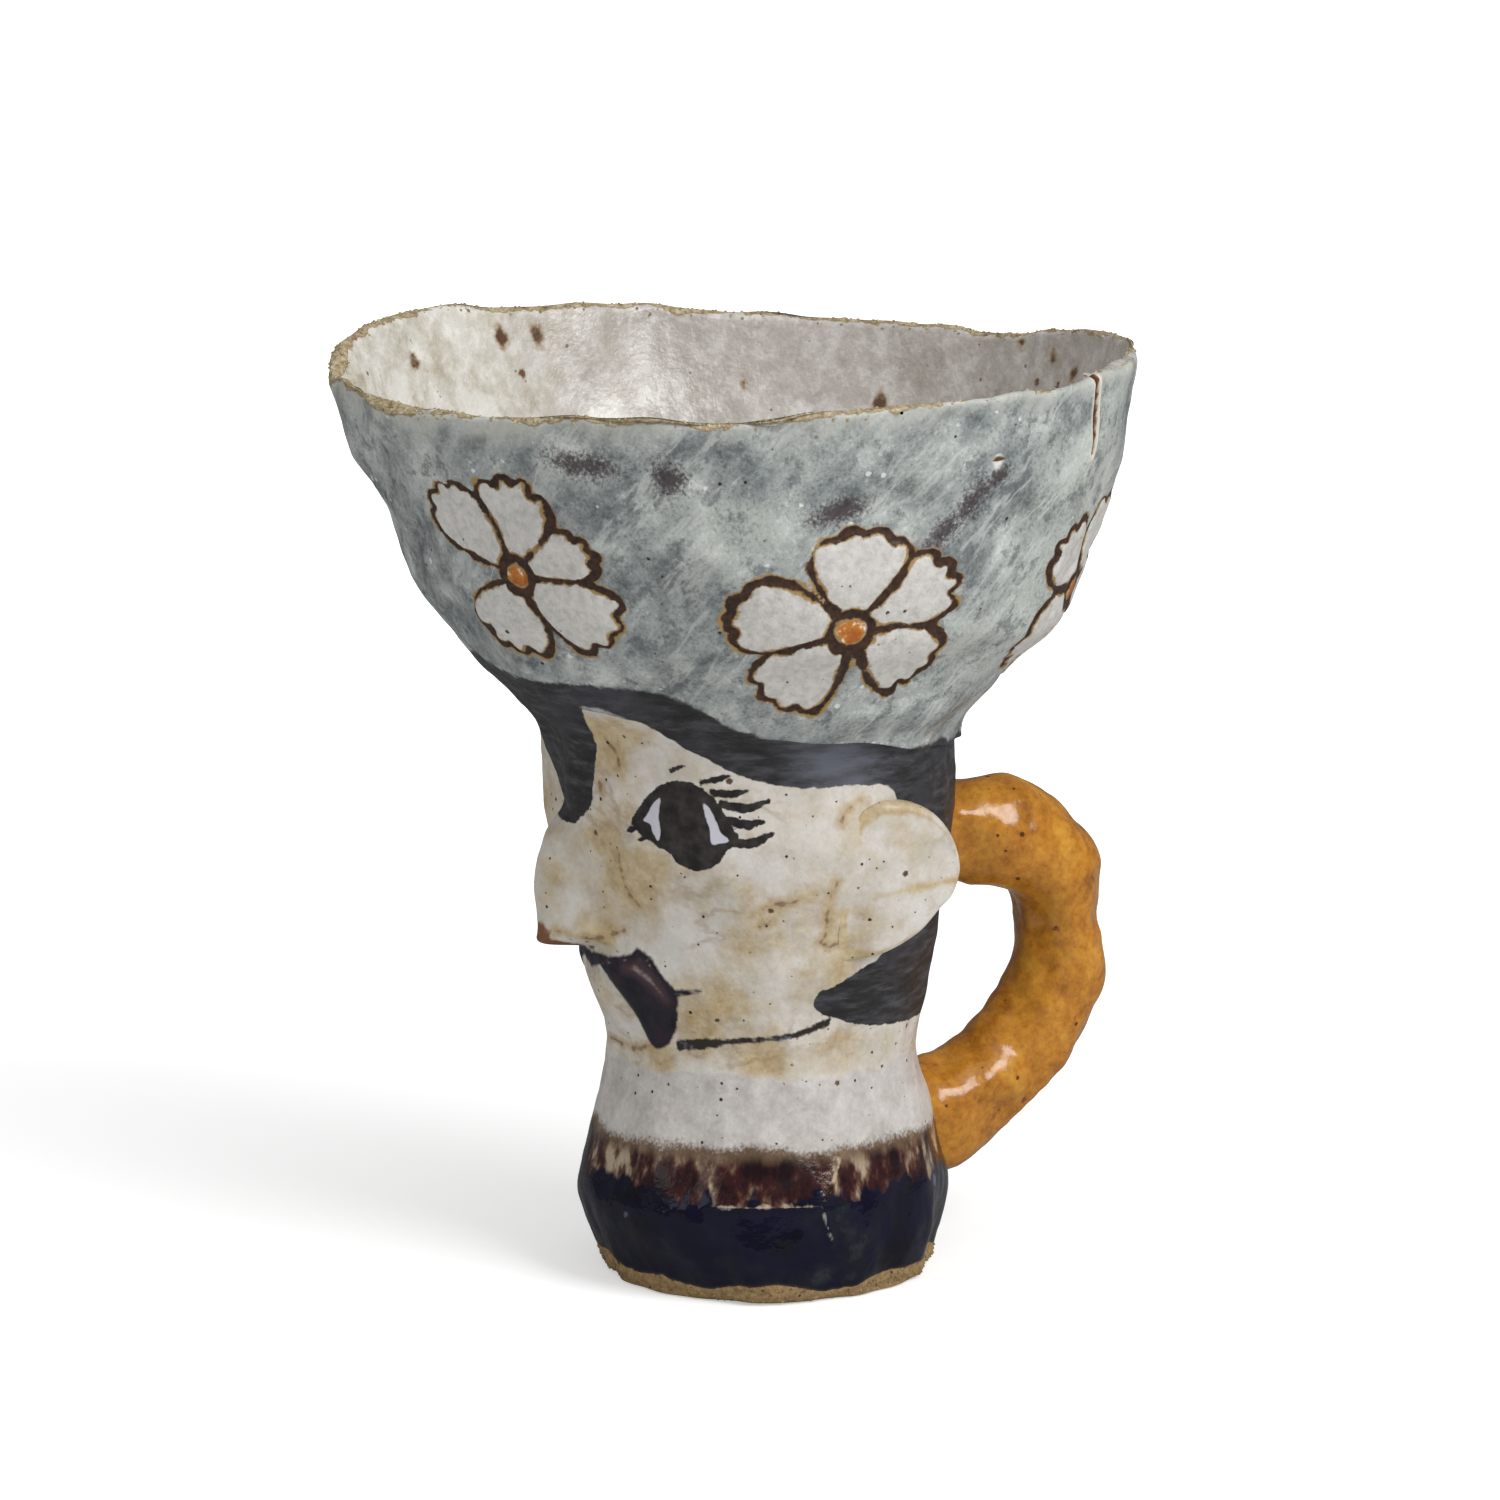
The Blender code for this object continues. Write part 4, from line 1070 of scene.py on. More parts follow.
def makeHat():
    nearSeam = [(vessel["seamTurn"], *hat["seamColumns"])]
    columns = crowded(0, 360, hat["columns"] + 1, nearSeam)[:-1]
    low = hatJoint(columns)
    cornerTurn, cornerWide, cornerOut, cornerDip = hat["corner"]
    besideTurn, besideWide, besideIn = hat["beside"]
    peakTurn, peakWide, peakRise, peakBites = hat["peak"]
    corner = hump(columns, cornerTurn, cornerWide)
    beside = hump(columns, besideTurn, besideWide)
    peak = hump(columns, peakTurn, peakWide)
    rim = rimHeight(columns) + raggedLip(columns) * (1 + peakBites * peak)
    rim = rim + peakRise * peak - cornerDip * corner
    lipHalf = hat["lip"] / 2
    outer = stackRows(columns, low, rim - lipHalf, np.linspace(0, 1, hat["outerRows"]))
    angles = np.linspace(0, math.pi, hat["lipRows"] + 2)[1:-1, None]
    lip = (
        np.broadcast_to(columns, (hat["lipRows"], len(columns))),
        rim - lipHalf + lipHalf * np.sin(angles),
        lipHalf * (1 - np.cos(angles)) + 0 * rim,
    )
    part = np.linspace(0, 1, hat["innerRows"])[:, None]
    turns, heights, _ = stackRows(columns, rim - lipHalf, low, part[:, 0])
    thick = hat["lip"] + (hat["wall"] - hat["lip"]) * ease(0, 0.5, part)
    inner = (turns, heights, np.where(part < 0.04, thick, levelWall(turns, heights, thick)))
    turn, height, inset = joinRows(outer, lip, inner)
    isOuter = np.zeros(turn.shape)
    isOuter[: hat["outerRows"]] = 1
    isInner = np.zeros(turn.shape)
    isInner[hat["outerRows"] + hat["lipRows"] // 2 :] = 1

    rise = height - hatJoint(turn)
    back = (1 - np.cos(np.radians(turn))) / 2
    inset = inset - hat["overhang"] * back * np.exp(-((rise / 6) ** 2)) * isOuter
    inset = inset - (cornerOut * corner - besideIn * beside) * ease(*hat["cornerFrom"], height)
    *belly, bellyOut = hat["belly"]
    inset = inset - bellyOut * softSpot(turn, height, *belly)
    points = wallPoint(turn, height, inset)
    outward = skinOutward(turn, height, isInner)

    paint = paintBlossoms(turn, height)
    seam = hat["seam"]
    seamFoot = rim[None] - seam["tall"]
    x = aroundGap(turn, vessel["seamTurn"]) * hat["mmPerDegree"] + (height - rim) * seam["lean"]
    depthPart = ease(seamFoot, seamFoot + 5, height)
    crack = np.abs(x) - seam["width"] / 2 * (0.5 + 0.5 * depthPart)
    crack = np.maximum(crack, (seamFoot - height) * 0.6)
    dimTurn, dimHeight, dimRadius, dimDepth = hat["dimple"]
    slotX = aroundGap(turn, dimTurn) * hat["mmPerDegree"]
    slotY = height - dimHeight - 0.3
    dimple = np.hypot(slotX, height - dimHeight) / dimRadius
    relief = blossoms["slipRise"] * ease(0.4, -0.6, paint["petal"])
    relief = relief - blossoms["lineDepth"] * np.exp(-((paint["petal"] / 0.6) ** 2))
    relief = relief - seam["depth"] * ease(0.18, -0.3, crack)
    relief = relief + seam["lips"] * np.exp(-(((crack - 0.5) / 0.5) ** 2))
    relief = relief - dimDepth * np.exp(-(dimple**2))
    carved = np.where(isInner > 0, 0, 1) * np.where(isOuter + (x**2 < 9), 1, 0)
    points = points + outward * (relief * carved)[..., None]

    twist = np.radians(turn - 0.9 * height)  # the brush slants round the bowl
    flow = np.stack([50 * np.cos(twist), 50 * np.sin(twist), 0.4 * height], -1) * mm
    glazedTurn, glazedWide, glazedOver = hat["glazedLip"]
    lipEdge = (rim[None] - height) * np.where(isInner > 0, 1.4, 1.0) - 1.0 * corner
    lipEdge = lipEdge + glazedOver * hump(columns, glazedTurn, glazedWide)
    milk = sum(softSpot(turn, height, *place) for place in hat["milk"])
    piece = meshFromRows("slab_hat", points, {
        "outward": outward,
        "freedom": 1 - 0.3 * isInner,
        "flow": flow,
        "inside": isInner,
        "lip": lipEdge,
        "crack": np.where(isInner > 0, noPaint, crack),
        "dimple": np.where(isOuter > 0, dimple * dimRadius, noPaint),
        "slot": np.where(isOuter > 0, np.hypot(slotX * 0.3, slotY) - 0.2, noPaint),
        "smudge": smudgeEdge(turn, height),
        "wash": sum(softSpot(turn, height, *place) for place in hat["washes"]),
        "milk": milk * isInner,
        "stain": np.where(isInner > 0, stainEdge(turn, height), noPaint),
        "hair": np.where(isOuter > 0, paintFace(turn, height)["hatHair"], noPaint),
        "petal": np.where(isOuter > 0, paint["petal"], blossoms["far"]),
        "heart": np.where(isOuter > 0, paint["heart"], blossoms["far"]),
        "sandy": 0.5 * ease(1.6, 0.3, lipEdge),
    })
    pressMarks(piece, greyGreen)
    sowGrit(piece, greyGreen)
    settle(piece, "hat_bowl")


makeHat()


# Head and neck: one waisted tube

head = {
    "columns": 540,
    "eyeTurns": [(54, 22, 3.0), (306, 22, 3.0), (20, 16, 1.6), (340, 16, 1.6)],
    "outerRows": 160,
    "eyeRows": [(0.80, 0.13, 3.0), (0.45, 0.16, 1.7)],
    "innerRows": 22,
    "wall": 4.5,
    "ridge": [(52, 15.4), (70, 15.6), (86, 15.9), (91, 18.2), (95, 22.2)],
    "ridgeTail": [(87, 15.8), (88.5, 13), (91.5, 9.4)],
    "ridgeScale": 0.48,  # mm per degree
    "ridgeRise": (0.35, 0.7),  # height and half width in mm
    "lipsRise": 0.5,
    "washScale": (0.53, 1.1),  # mm per degree, and per mm of height
    "ochre": [  # turn, height, spread in mm, strength
        (26, 84, 5, 1.0), (24, 70, 5, 1.1), (30, 62, 5, 0.8), (34, 88, 4, 0.8), (40, 66, 6, 0.6),
        (70, 58, 5, 0.7), (88, 60, 4, 0.8), (94, 72, 4, 0.7), (60, 46, 5, 0.6), (45, 43, 6, 0.9),
        (30, 36.5, 4, 1.2), (70, 37.5, 5, 0.9), (100, 38, 4, 0.6), (92, 52, 4, 0.8),
        (15, 56, 4, 0.8),
    ],
}


def ochreWash(turn, height):
    side = np.abs(aroundGap(turn, 0))
    wash = np.zeros(turn.shape)
    along, up = head["washScale"]
    for spotTurn, spotHeight, wide, strength in head["ochre"]:
        away = ((side - spotTurn) * along) ** 2 + ((height - spotHeight) * up) ** 2
        wash = wash + strength * np.exp(-away / wide**2)
    return -wash


def ridgeEdge(turn, height):
    scale = head["ridgeScale"]
    near = []
    for name in ("ridge", "ridgeTail"):
        line = smoothLine([(t * scale, h) for t, h in head[name]])
        near.append(distanceTo(turn * scale, height, line))
    return np.minimum(*near)


def ridgeRelief(ridge):
    rise, half = head["ridgeRise"]
    return rise * np.exp(-((ridge / half) ** 2))


def lipsRelief(mouth):
    return head["lipsRise"] * ease(0.6, -1.6, mouth)


def makeHead():
    columns = crowded(0, 360, head["columns"] + 1, head["eyeTurns"])[:-1]
    low = 0 * columns + vessel["footTop"]
    high = hatJoint(columns)
    shares = crowded(0, 1, head["outerRows"], head["eyeRows"])
    rows = tubeRows(columns, low, high, shares, head["innerRows"], head["wall"])
    turn, height, inset, isInner = rows
    outward = skinOutward(turn, height, isInner)
    paint = paintFace(turn, height)
    ridge = ridgeEdge(turn, height)
    relief = lipsRelief(paint["mouth"]) + ridgeRelief(ridge)
    points = wallPoint(turn, height, inset) + outward * (relief * (1 - isInner))[..., None]
    attributes = {"outward": outward, "freedom": 1 - 0.75 * isInner, "inside": isInner}
    for name in faceLayers:
        attributes[name] = np.where(isInner > 0, noPaint, paint[name])
    attributes["ochre"] = ochreWash(turn, height)
    attributes["ridge"] = np.where(isInner > 0, noPaint, ridge)
    piece = meshFromRows("head_and_neck", points, attributes)
    pressMarks(piece, cream)
    settle(piece, "head_wall")


makeHead()


# Foot: a swelling coil on a flat slab

foot = {
    "columns": 480, "outerRows": 30, "innerRows": 8, "wall": 5.2, "edgeRound": 1.5, "facets": 1.1,
    "edgeRows": 6, "sideRows": 10,
    "discShares": (0.25, 0.55, 0.8, 0.93),  # rings of the flat faces, from the middle out
    "bareLine": 3.2,
    "bareWaves": [(1, -0.6, -1.3), (5, 0.7, 0.4), (9, 0.5, 1.3)],  # waves around, size, start
    "facetWaves": [(7, 0.55, 0.6), (11, 0.4, 2.0), (19, 0.25, 0.0)],
    "facetFade": (15.5, 8.0),  # heights where the facets are gone and in full
}


def wavesAround(turn, waves, base=0.0):
    angle = np.radians(turn)
    return sum((size * np.cos(count * angle + start) for count, size, start in waves), base)


def bareEdge(turn, height):
    return height - wavesAround(turn, foot["bareWaves"], foot["bareLine"])


def sandyShare(turn, height):
    return ease(-0.2, -0.7, bareEdge(turn, height))


def footFacets(turn, height):
    waves = wavesAround(turn, foot["facetWaves"])
    return foot["facets"] * ease(-1.0, 1.1, waves) * ease(*foot["facetFade"], height)


def makeFootCoil(columns):
    low = 0 * columns + vessel["floorTop"]
    high = 0 * columns + vessel["footTop"]
    shares = np.linspace(0, 1, foot["outerRows"])
    rows = tubeRows(columns, low, high, shares, foot["innerRows"], foot["wall"])
    turn, height, inset, isInner = rows
    inset = inset + footFacets(turn, height) * (1 - isInner)
    outward = skinOutward(turn, height, isInner)
    ridge = ridgeEdge(turn, height)
    relief = ridgeRelief(ridge) * (1 - isInner)
    points = wallPoint(turn, height, inset) + outward * relief[..., None]
    piece = meshFromRows("foot_coil", points, {
        "outward": outward,
        "freedom": 1 - 0.75 * isInner,
        "inside": isInner,
        "bare": bareEdge(turn, height),
        "ridge": np.where(isInner > 0, noPaint, ridge),
        "sandy": sandyShare(turn, height) * (1 - isInner),
    })
    pressMarks(piece, cobalt)
    sowGrit(piece, cobalt)
    settle(piece, "foot_ring")


def makeFootSlab(columns):
    rounding = foot["edgeRound"]
    corner = np.linspace(math.pi / 2, 0, foot["edgeRows"])[:, None]
    under = (
        np.broadcast_to(columns, (foot["edgeRows"], len(columns))),
        rounding * (1 - np.sin(corner)) + 0 * columns,
        rounding * (1 - np.cos(corner)) + 0 * columns,
    )
    low = 0 * columns + rounding
    high = 0 * columns + vessel["floorTop"]
    side = stackRows(columns, low, high, np.linspace(0, 1, foot["sideRows"]))
    shares = np.array(foot["discShares"])[:, None]
    rings = len(shares)
    discs = []
    for level, share in ((0.0, shares), (vessel["floorTop"], shares[::-1])):
        discs.append((
            np.broadcast_to(columns, (rings, len(columns))),
            np.full((rings, len(columns)), level),
            (1 - share) * reachAt("side", np.array(level)) + 0 * columns,
        ))
    turn, height, inset = joinRows(discs[0], under, side, discs[1])
    free = np.zeros(turn.shape)
    free[rings + foot["edgeRows"] // 2 : -rings] = 1
    facets = footFacets(turn, height)
    facets[:rings] *= shares
    facets[-rings:] *= shares[::-1]
    lining = np.zeros(turn.shape)
    lining[-rings:] = 1
    piece = meshFromRows("foot_slab", wallPoint(turn, height, inset + facets), {
        "outward": wallOutward(turn, np.maximum(height, 1.0)),
        "freedom": free,
        "inside": lining,
        "bare": bareEdge(turn, height),
        "ridge": np.full(turn.shape, noPaint),
        "sandy": sandyShare(turn, height) * free,
    }, ring=False)
    pressMarks(piece, stoneware)
    sowGrit(piece, stoneware)
    settle(piece, "floor_slab")


footColumns = np.linspace(0, 360, foot["columns"], endpoint=False)
makeFootCoil(footColumns)
makeFootSlab(footColumns)


# Nose: a pinched wedge of clay, smoothed into the face at its edges

nose = {
    "bottom": 52.7, "tall": 20.5, "width": 21.0, "bridge": 7.0, "reach": 9.0, "bridgeReach": 1.6,
    "droop": 0.7, "spread": 34.0, "under": 3.0, "thick": 2.0, "mmPerDegree": 0.52,
    "columns": 110, "lowRows": 40, "highRows": 71,
    "slope": 0.16,  # how the lower edge climbs to the sides
    "tip": (1.2, 2.4, 2.2, 0.3),  # height, half width, half height and reach of the round tip
    "wing": (7.2, 2.3, 2.4, 1.1),  # way out, half width, half height and reach of each side
    "flat": 0.35,  # what is kept of the swell's sideways and upward part
}


def noseSwell(turn, height):
    out = np.abs(turn) * nose["mmPerDegree"]
    lowest = nose["bottom"] + nose["slope"] * np.maximum(0, out - 2)
    along = np.clip((height - lowest) / nose["tall"], 0, 1)
    half = (nose["width"] + (nose["bridge"] - nose["width"]) * along) / 2
    reach = nose["reach"] + (nose["bridgeReach"] - nose["reach"]) * along
    across = np.clip(out / half, 0, 1)
    ridge = np.clip(1 - across**1.25, 0, 1)
    lower = ease(lowest - 1.0, lowest + 2.4, height) ** 0.6
    top = nose["bottom"] + nose["tall"]
    upper = ease(top + 2.5, top - 4, height)
    level, wide, tall, tipReach = nose["tip"]
    tip = np.exp(-((out / wide) ** 2) - ((height - nose["bottom"] - level) / tall) ** 2)
    away, wide, tall, wingReach = nose["wing"]
    wing = np.exp(-(((out - away) / wide) ** 2) - ((height - lowest - tall) / tall) ** 2)
    swell = (reach * ridge + wingReach * wing) * lower * upper + tipReach * tip
    return swell, ridge * lower * (1 - along) ** 2 + 0.8 * tip


def makeNose():
    scale = nose["mmPerDegree"]
    turns = np.linspace(-nose["spread"], nose["spread"], nose["columns"])
    low = nose["bottom"] - nose["under"]
    high = nose["bottom"] + nose["tall"] + 3
    split = nose["bottom"] + 2  # rows lie closer below
    fine = np.linspace(low, split, nose["lowRows"])
    heights = np.concatenate([fine, np.linspace(split, high, nose["highRows"])[1:]])
    turn, height = np.meshgrid(turns, heights)
    swell, sag = noseSwell(turn, height)
    outward = wallOutward(turn, height)
    forward = outward * np.array([nose["flat"], 1, nose["flat"]])
    border = np.minimum(
        ease(0, 3, nose["spread"] * scale - np.abs(turn) * scale),
        np.minimum(ease(low, low + 1.5, height), ease(high, high - 2, height)),
    )
    paint = paintFace(turn, height)
    face = wallPoint(turn, height) + outward * lipsRelief(paint["mouth"])[..., None]
    down = np.array([0, 0, 1]) * (nose["droop"] * sag)[..., None]
    front = face + forward * swell[..., None] - down
    front = front + outward * (-0.35 + 0.37 * border)[..., None]

    def sewn(ahead, behind):
        # two grids become one closed skin: around each row, front then back
        return np.concatenate([ahead, behind[:, ::-1]], 1)

    rows = sewn(front, wallPoint(turn, height, nose["thick"]))
    shape = rows.shape[:2]
    attributes = {"outward": sewn(outward, outward), "freedom": np.ones(shape)}
    attributes["inside"] = np.zeros(shape)
    rise = height - nose["bottom"]
    rust = 1.1 * np.exp(-((turn / 5.5) ** 2) - ((rise - 1.4) / 3.6) ** 2)
    rust = rust + 0.3 * np.exp(-(((rise - 0.7) / 1.0) ** 2)) * ease(27, 18, np.abs(turn))
    for name in faceLayers:
        attributes[name] = sewn(paint[name], paint[name])
    wash = ochreWash(turn, height)
    attributes["ochre"] = sewn(wash, wash)
    attributes["ridge"] = np.full(shape, noPaint)
    attributes["rust"] = sewn(rust, 0 * rust)
    piece = meshFromRows("pinched_nose", rows, attributes, ring=False)
    pressMarks(piece, cream)
    settle(piece, "nose")


makeNose()


# Ears: flat slabs, smoothed into the cheek in front and standing free behind

ear = {
    "turn": 110.0, "height": 65.3, "tall": 24.0, "width": 19.5, "thick": 3.2, "flare": 13.0,
    "sink": 1.2, "round": 1.0, "mmPerDegree": 0.52,
    "outline": [
        (-0.46, 0.34), (-0.30, 0.47), (-0.05, 0.50), (0.22, 0.41), (0.42, 0.24), (0.51, 0.04),
        (0.47, -0.12), (0.36, -0.22), (0.20, -0.36), (-0.04, -0.46), (-0.30, -0.51),
        (-0.47, -0.46), (-0.50, -0.05),
    ],
    "rings": 26, "edgeRings": 7, "innermost": 0.06, "segments": 160,
    "marks": 0.6,
    "shrink": 0.93,  # leaves room for the rounded edge
    "luted": (-0.45, -0.08),  # shares of the width where the ear leaves the cheek
    "fold": (1.5, 0.08),  # mm below the middle, and slope, of the line across the ear
}


def makeEar(name, node, sign):
    middle = np.array([sign * ear["turn"]])
    level = np.array([ear["height"]])
    seat = wallPoint(middle, level)[0]
    ahead = wallPoint(middle - sign * 10, level)[0]
    behind = wallPoint(middle + sign * 10, level)[0]
    backward = (behind - ahead) / np.linalg.norm(behind - ahead)
    swing = math.radians(-sign * ear["flare"])
    cos, sin = math.cos(swing), math.sin(swing)
    backward = np.array([[cos, -sin, 0], [sin, cos, 0], [0, 0, 1]]) @ backward
    half = ear["tall"] / 2
    upward = wallPoint(middle, level + half)[0] - wallPoint(middle, level - half)[0]
    upward = upward / np.linalg.norm(upward)
    outward = np.cross(sign * backward, upward)
    outward = outward / np.linalg.norm(outward)
    outline = [(b * ear["width"], u * ear["tall"]) for b, u in ear["outline"]]
    outline = smoothLine(outline, closed=True, steps=24)
    pick = np.linspace(0, len(outline), ear["segments"], endpoint=False).astype(int)
    outline = outline[pick][::sign]
    rings = [(share, 1.0) for share in np.linspace(ear["innermost"], 1, ear["rings"])]
    for angle in np.linspace(0, math.pi, ear["edgeRings"] + 2)[1:-1]:
        rings.append((1 + ear["round"] / 10 * math.sin(angle), math.cos(angle)))
    rings += [(share, -1.0) for share in np.linspace(1, ear["innermost"], ear["rings"])]
    rows = []
    washes = []
    lines = []
    for share, face in rings:
        flat = outline * (share * ear["shrink"])
        b = flat[:, 0]
        u = flat[:, 1]
        plate = seat + np.outer(b, backward) + np.outer(u, upward)
        plate = plate + outward * (ear["thick"] / 2 - ear["sink"] + face * ear["thick"] / 2)
        turn = sign * (ear["turn"] + b / ear["mmPerDegree"])
        cheek = wallPoint(turn, ear["height"] + u, -0.12 if face > 0 else 1.5)
        leaves, stands = ear["luted"]
        free = ease(leaves * ear["width"], stands * ear["width"], b)[:, None]
        rows.append(cheek * (1 - free) + plate * free)
        drop, slope = ear["fold"]
        fold = u + drop - slope * b  # distance above the line across the ear
        streak = 0.8 * np.exp(-((fold / 0.7) ** 2)) * ease(-8, -2, b)
        edge = -0.75 * ease(0.93, 1.0, share) * ease(4, 0, b)
        washes.append(edge - streak - 0.3 * ease(-2, -8, b))
        rim = 0.45 + 20 * np.abs(share - 1.0) + 0.6 * ease(-3, 6, b) * ease(0, -6, u)
        lines.append(np.minimum(rim, np.abs(fold) + 2.5 * ease(2, -7, b)))
    rows = np.array(rows)
    shape = rows.shape[:2]
    attributes = {"outward": np.broadcast_to(outward, rows.shape), "freedom": np.full(shape, 0.8)}
    attributes["inside"] = np.zeros(shape)
    for paint in faceLayers + ("ridge",):
        attributes[paint] = np.full(shape, noPaint)
    attributes["wisp"] = np.array(lines)
    attributes["ochre"] = np.array(washes)
    attributes = {key: values[::-1] for key, values in attributes.items()}
    piece = meshFromRows(name, rows[::-1], attributes, ring=False)
    pressMarks(piece, cream, ear["marks"])
    settle(piece, node)


makeEar("left_ear", "ear_left", 1)
makeEar("right_ear", "ear_right", -1)


# Handle: a thick rolled coil, bent along one curve and luted on at both ends

handle = {
    "top": 66.2, "low": 20.4, "root": 3.4, "topPull": (33.4, 2.2), "lowPull": (34.6, 6.6),
    "Top Radius": 7.9, "Low Radius": 8.0, "Waist": 1.3, "Flare": 0.8, "Flare Run": 6.0,
    "Free Run": 6.0, "Rings": 150, "Sides": 72,
    "marks": 2.0,
}
coilLengths = ("Top Radius", "Low Radius", "Waist", "Flare", "Flare Run", "Free Run")


def buildCoil():
    inputs = dict.fromkeys(("Start", "Start Pull", "End Pull", "End"), "Vector")
    inputs |= dict.fromkeys(coilLengths, "Float")
    inputs |= {"Rings": "Int", "Sides": "Int", "Material": "Material"}
    tree, given = newTree("rolledCoil", inputs)
    feeds = {"Start": given["Start"], "Start Handle": given["Start Pull"]}
    feeds |= {"End Handle": given["End Pull"], "End": given["End"], "Resolution": given["Rings"]}
    byPlace = {"mode": "POSITION"}
    path = addNode(tree, "GeometryNodeCurvePrimitiveBezierSegment", byPlace, feeds)[0]
    feeds = {"Curve": path, "Count": given["Rings"]}
    path = addNode(tree, "GeometryNodeResampleCurve", {}, feeds)[0]
    along = addNode(tree, "GeometryNodeSplineParameter")
    whole = addNode(tree, "GeometryNodeSplineLength")["Length"]
    feeds = {0: whole, 1: along["Length"]}
    rest = addNode(tree, "ShaderNodeMath", {"operation": "SUBTRACT"}, feeds)[0]
    feeds = {0: along["Length"], 1: rest}
    fromEnd = addNode(tree, "ShaderNodeMath", {"operation": "MINIMUM"}, feeds)[0]
    share = addNode(tree, "ShaderNodeMath", {"operation": "DIVIDE"}, {0: fromEnd, 1: whole})[0]
    eased = []
    for value, low, high, start, end in (
        (share, 0.12, 0.5, 0.0, given["Waist"]),
        (fromEnd, 0.0, given["Flare Run"], given["Flare"], 0.0),
        (fromEnd, 0.0, given["Free Run"], 0.0, 1.0),
    ):
        feeds = fromTo(value, low, high, start, end)
        eased.append(addNode(tree, "ShaderNodeMapRange", softStep, feeds)[0])
    waist, flare, free = eased
    feeds = {"Value": along["Factor"]}
    feeds |= {"To Min": given["Top Radius"], "To Max": given["Low Radius"]}
    thick = addNode(tree, "ShaderNodeMapRange", {}, feeds)[0]
    for how, amount in (("SUBTRACT", waist), ("ADD", flare)):
        thick = addNode(tree, "ShaderNodeMath", {"operation": how}, {0: thick, 1: amount})[0]
    feeds = {"Geometry": path, "Name": "freedom", "Value": free}
    kind = {"data_type": "FLOAT"}
    path = addNode(tree, "GeometryNodeStoreNamedAttribute", kind, feeds)[0]
    feeds = {"Resolution": given["Sides"], "Radius": 1.0}
    byRadius = {"mode": "RADIUS"}
    section = addNode(tree, "GeometryNodeCurvePrimitiveCircle", byRadius, feeds)[0]
    feeds = {"Curve": path, "Profile Curve": section, "Scale": thick, "Fill Caps": True}
    coil = addNode(tree, "GeometryNodeCurveToMesh", {}, feeds)[0]
    normal = addNode(tree, "GeometryNodeInputNormal")[0]
    feeds = {"Geometry": coil, "Name": "outward", "Value": normal}
    kind = {"data_type": "FLOAT_VECTOR"}
    coil = addNode(tree, "GeometryNodeStoreNamedAttribute", kind, feeds)[0]
    feeds = {"Geometry": coil, "Shade Smooth": True}
    coil = addNode(tree, "GeometryNodeSetShadeSmooth", {}, feeds)[0]
    return endTree(tree, coil, given["Material"])


def makeHandle():
    ends = []
    for level in (handle["top"], handle["low"]):
        ends.append(np.array([0, reachAt("back", np.array(level)) - handle["root"], level]))
    pulls = [end + (0, *handle[key]) for end, key in zip(ends, ("topPull", "lowPull"))]
    places = {"Start": ends[0], "Start Pull": pulls[0], "End Pull": pulls[1], "End": ends[1]}
    values = {label: (place * mm).tolist() for label, place in places.items()}
    values |= {label: handle[label] * mm for label in coilLengths}
    values |= {"Rings": handle["Rings"], "Sides": handle["Sides"], "Material": amber}
    piece = bpy.data.objects.new("rolled_handle", bpy.data.meshes.new("rolled_handle"))
    bpy.context.scene.collection.objects.link(piece)
    runTree(piece, buildCoil(), values)
    pressMarks(piece, amber, handle["marks"])
    settle(piece, "handle")


makeHandle()


# Studio: a pale floor, soft boxes and the camera

studio = {
    "azimuth": 70.0, "pitch": 10.8, "distance": 1.05, "aimHeight": 0.0793, "aimShift": -0.00255,
    "frameWidth": 0.225,  # metres that the picture spans at the cup
    "sensor": 36,
    "floorSize": 12.0,
    "glow": (0.05, 0.6, 0.44, 1.0),  # the floor's, from and to in metres, and how strong there
    "ambient": (0.42, 0.12),  # on the cup, and in its reflections
    "lamps": {  # azimuth and height of each soft box, size in metres, power in watts
        "key": (116, 38, 0.55, 9.5),
        "fill": (10, 25, 0.7, 1.0),
        "top": (75, 78, 0.9, 3.0),
    },
    "lampDistance": 1.2,
    "lampAim": 0.07,
}


def makeCamera(scene):
    azimuth = math.radians(studio["azimuth"])
    pitch = math.radians(studio["pitch"])
    right = np.array([math.cos(azimuth), math.sin(azimuth), 0])
    level = math.cos(pitch)
    back = np.array([math.sin(azimuth) * level, -math.cos(azimuth) * level, math.sin(pitch)])
    aim = right * studio["aimShift"] + np.array([0, 0, studio["aimHeight"]])
    lens = bpy.data.cameras.new("camera")
    lens.sensor_width = studio["sensor"]
    lens.lens = studio["sensor"] * studio["distance"] / studio["frameWidth"]
    lens.clip_start = 0.05
    eye = bpy.data.objects.new("camera", lens)
    eye.location = aim + back * studio["distance"]
    eye.rotation_euler = (math.pi / 2 - pitch, 0, azimuth)
    scene.collection.objects.link(eye)
    scene.camera = eye


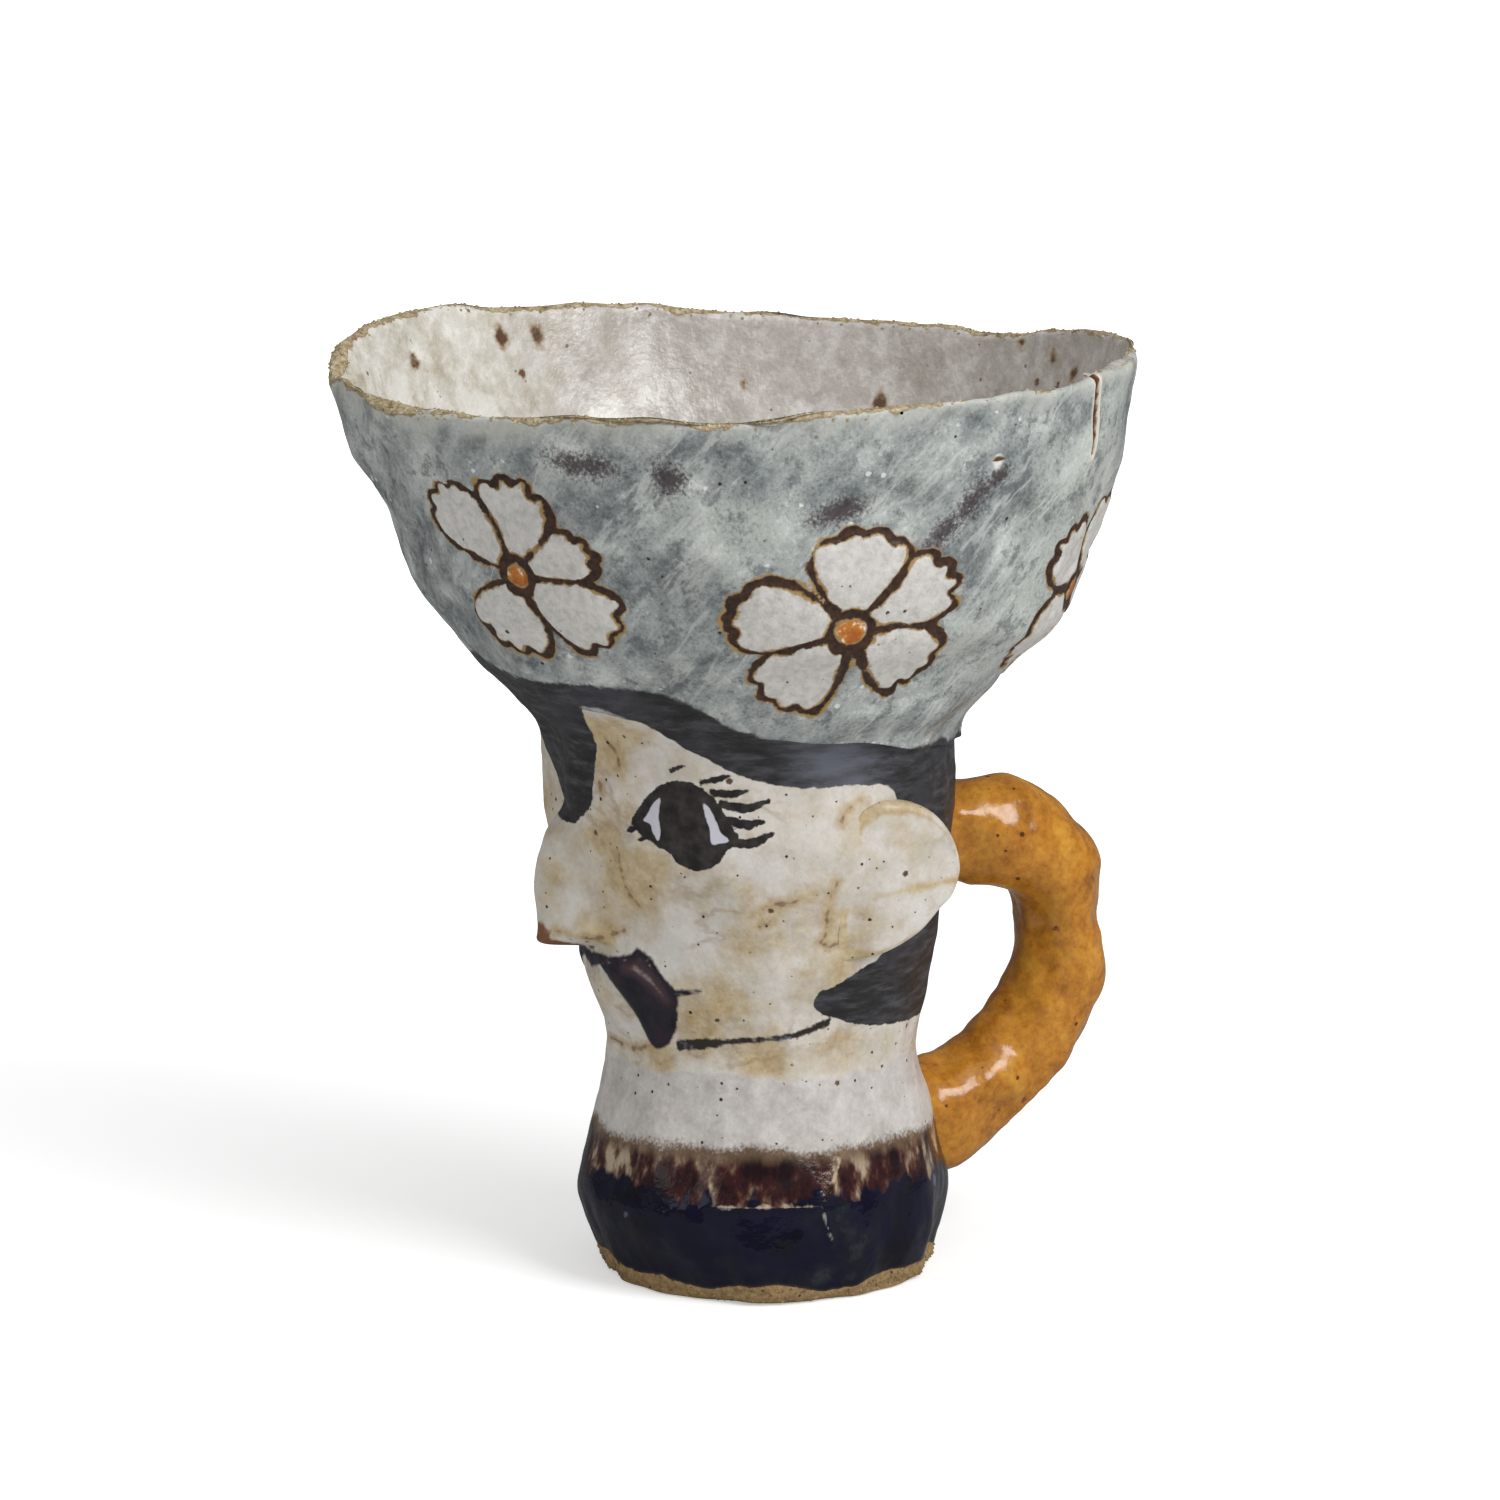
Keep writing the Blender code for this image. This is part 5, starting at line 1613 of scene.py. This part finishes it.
def makeFloor(scene):
    half = studio["floorSize"] / 2
    corners = [(-half, -half, 0), (half, -half, 0), (half, half, 0), (-half, half, 0)]
    mesh = bpy.data.meshes.new("floor")
    mesh.from_pydata(corners, [], [(0, 1, 2, 3)])
    floor = bpy.data.objects.new("floor", mesh)
    scene.collection.objects.link(floor)
    # matt white paper, which glows to plain white away from the cup's shadow
    paper = bpy.data.materials.new("white paper")
    paper.use_nodes = True
    tree = paper.node_tree
    shader = tree.nodes["Principled BSDF"]
    path = addNode(tree, "ShaderNodeLightPath")
    feeds = {0: path["Is Glossy Ray"], 6: "#e6e6e6", 7: "#8a8a8a"}  # keeps dark glaze deep
    tint = addNode(tree, "ShaderNodeMix", {"data_type": "RGBA"}, feeds)[2]
    tree.links.new(tint, shader.inputs["Base Color"])
    shader.inputs["Roughness"].default_value = 0.9
    shader.inputs["Specular IOR Level"].default_value = 0.0
    spot = addNode(tree, "ShaderNodeTexCoord")["Object"]
    away = addNode(tree, "ShaderNodeVectorMath", {"operation": "LENGTH"}, {0: spot})["Value"]
    lift = addNode(tree, "ShaderNodeMapRange", softStep, fromTo(away, *studio["glow"]))[0]
    feeds = {0: path["Is Camera Ray"], 1: lift}
    glow = addNode(tree, "ShaderNodeMath", {"operation": "MULTIPLY"}, feeds)[0]
    tree.links.new(glow, shader.inputs["Emission Strength"])
    shader.inputs["Emission Color"].default_value = (1, 1, 1, 1)
    mesh.materials.append(paper)


def makeLight(scene):
    world = bpy.data.worlds.new("studio")
    world.use_nodes = True
    scene.world = world
    tree = world.node_tree
    path = addNode(tree, "ShaderNodeLightPath")
    feeds = {0: path["Is Camera Ray"], 1: path["Is Transmission Ray"]}
    shown = addNode(tree, "ShaderNodeMath", {"operation": "MAXIMUM"}, feeds)[0]
    onCup, reflected = studio["ambient"]
    feeds = {"Value": path["Is Glossy Ray"], "To Min": onCup, "To Max": reflected}
    ambient = addNode(tree, "ShaderNodeMapRange", {}, feeds)[0]
    feeds = {0: shown, 2: ambient, 3: 1.0}
    strength = addNode(tree, "ShaderNodeMix", {"data_type": "FLOAT"}, feeds)[0]
    background = tree.nodes["Background"]
    tree.links.new(strength, background.inputs["Strength"])
    background.inputs["Color"].default_value = (1, 1, 1, 1)
    far = studio["lampDistance"]
    for name, (turn, rise, size, power) in studio["lamps"].items():
        lamp = bpy.data.lights.new(name, "AREA")
        lamp.size = size
        lamp.energy = power
        box = bpy.data.objects.new(name, lamp)
        turn = math.radians(turn)
        rise = math.radians(rise)
        box.location = (
            far * math.sin(turn) * math.cos(rise),
            -far * math.cos(turn) * math.cos(rise),
            far * math.sin(rise) + studio["lampAim"],
        )
        box.rotation_euler = (math.pi / 2 - rise, 0, turn)
        scene.collection.objects.link(box)


def makeStudio():
    scene = bpy.context.scene
    scene.view_settings.view_transform = "Standard"
    makeCamera(scene)
    makeFloor(scene)
    makeLight(scene)
    print("studio lit")


makeStudio()
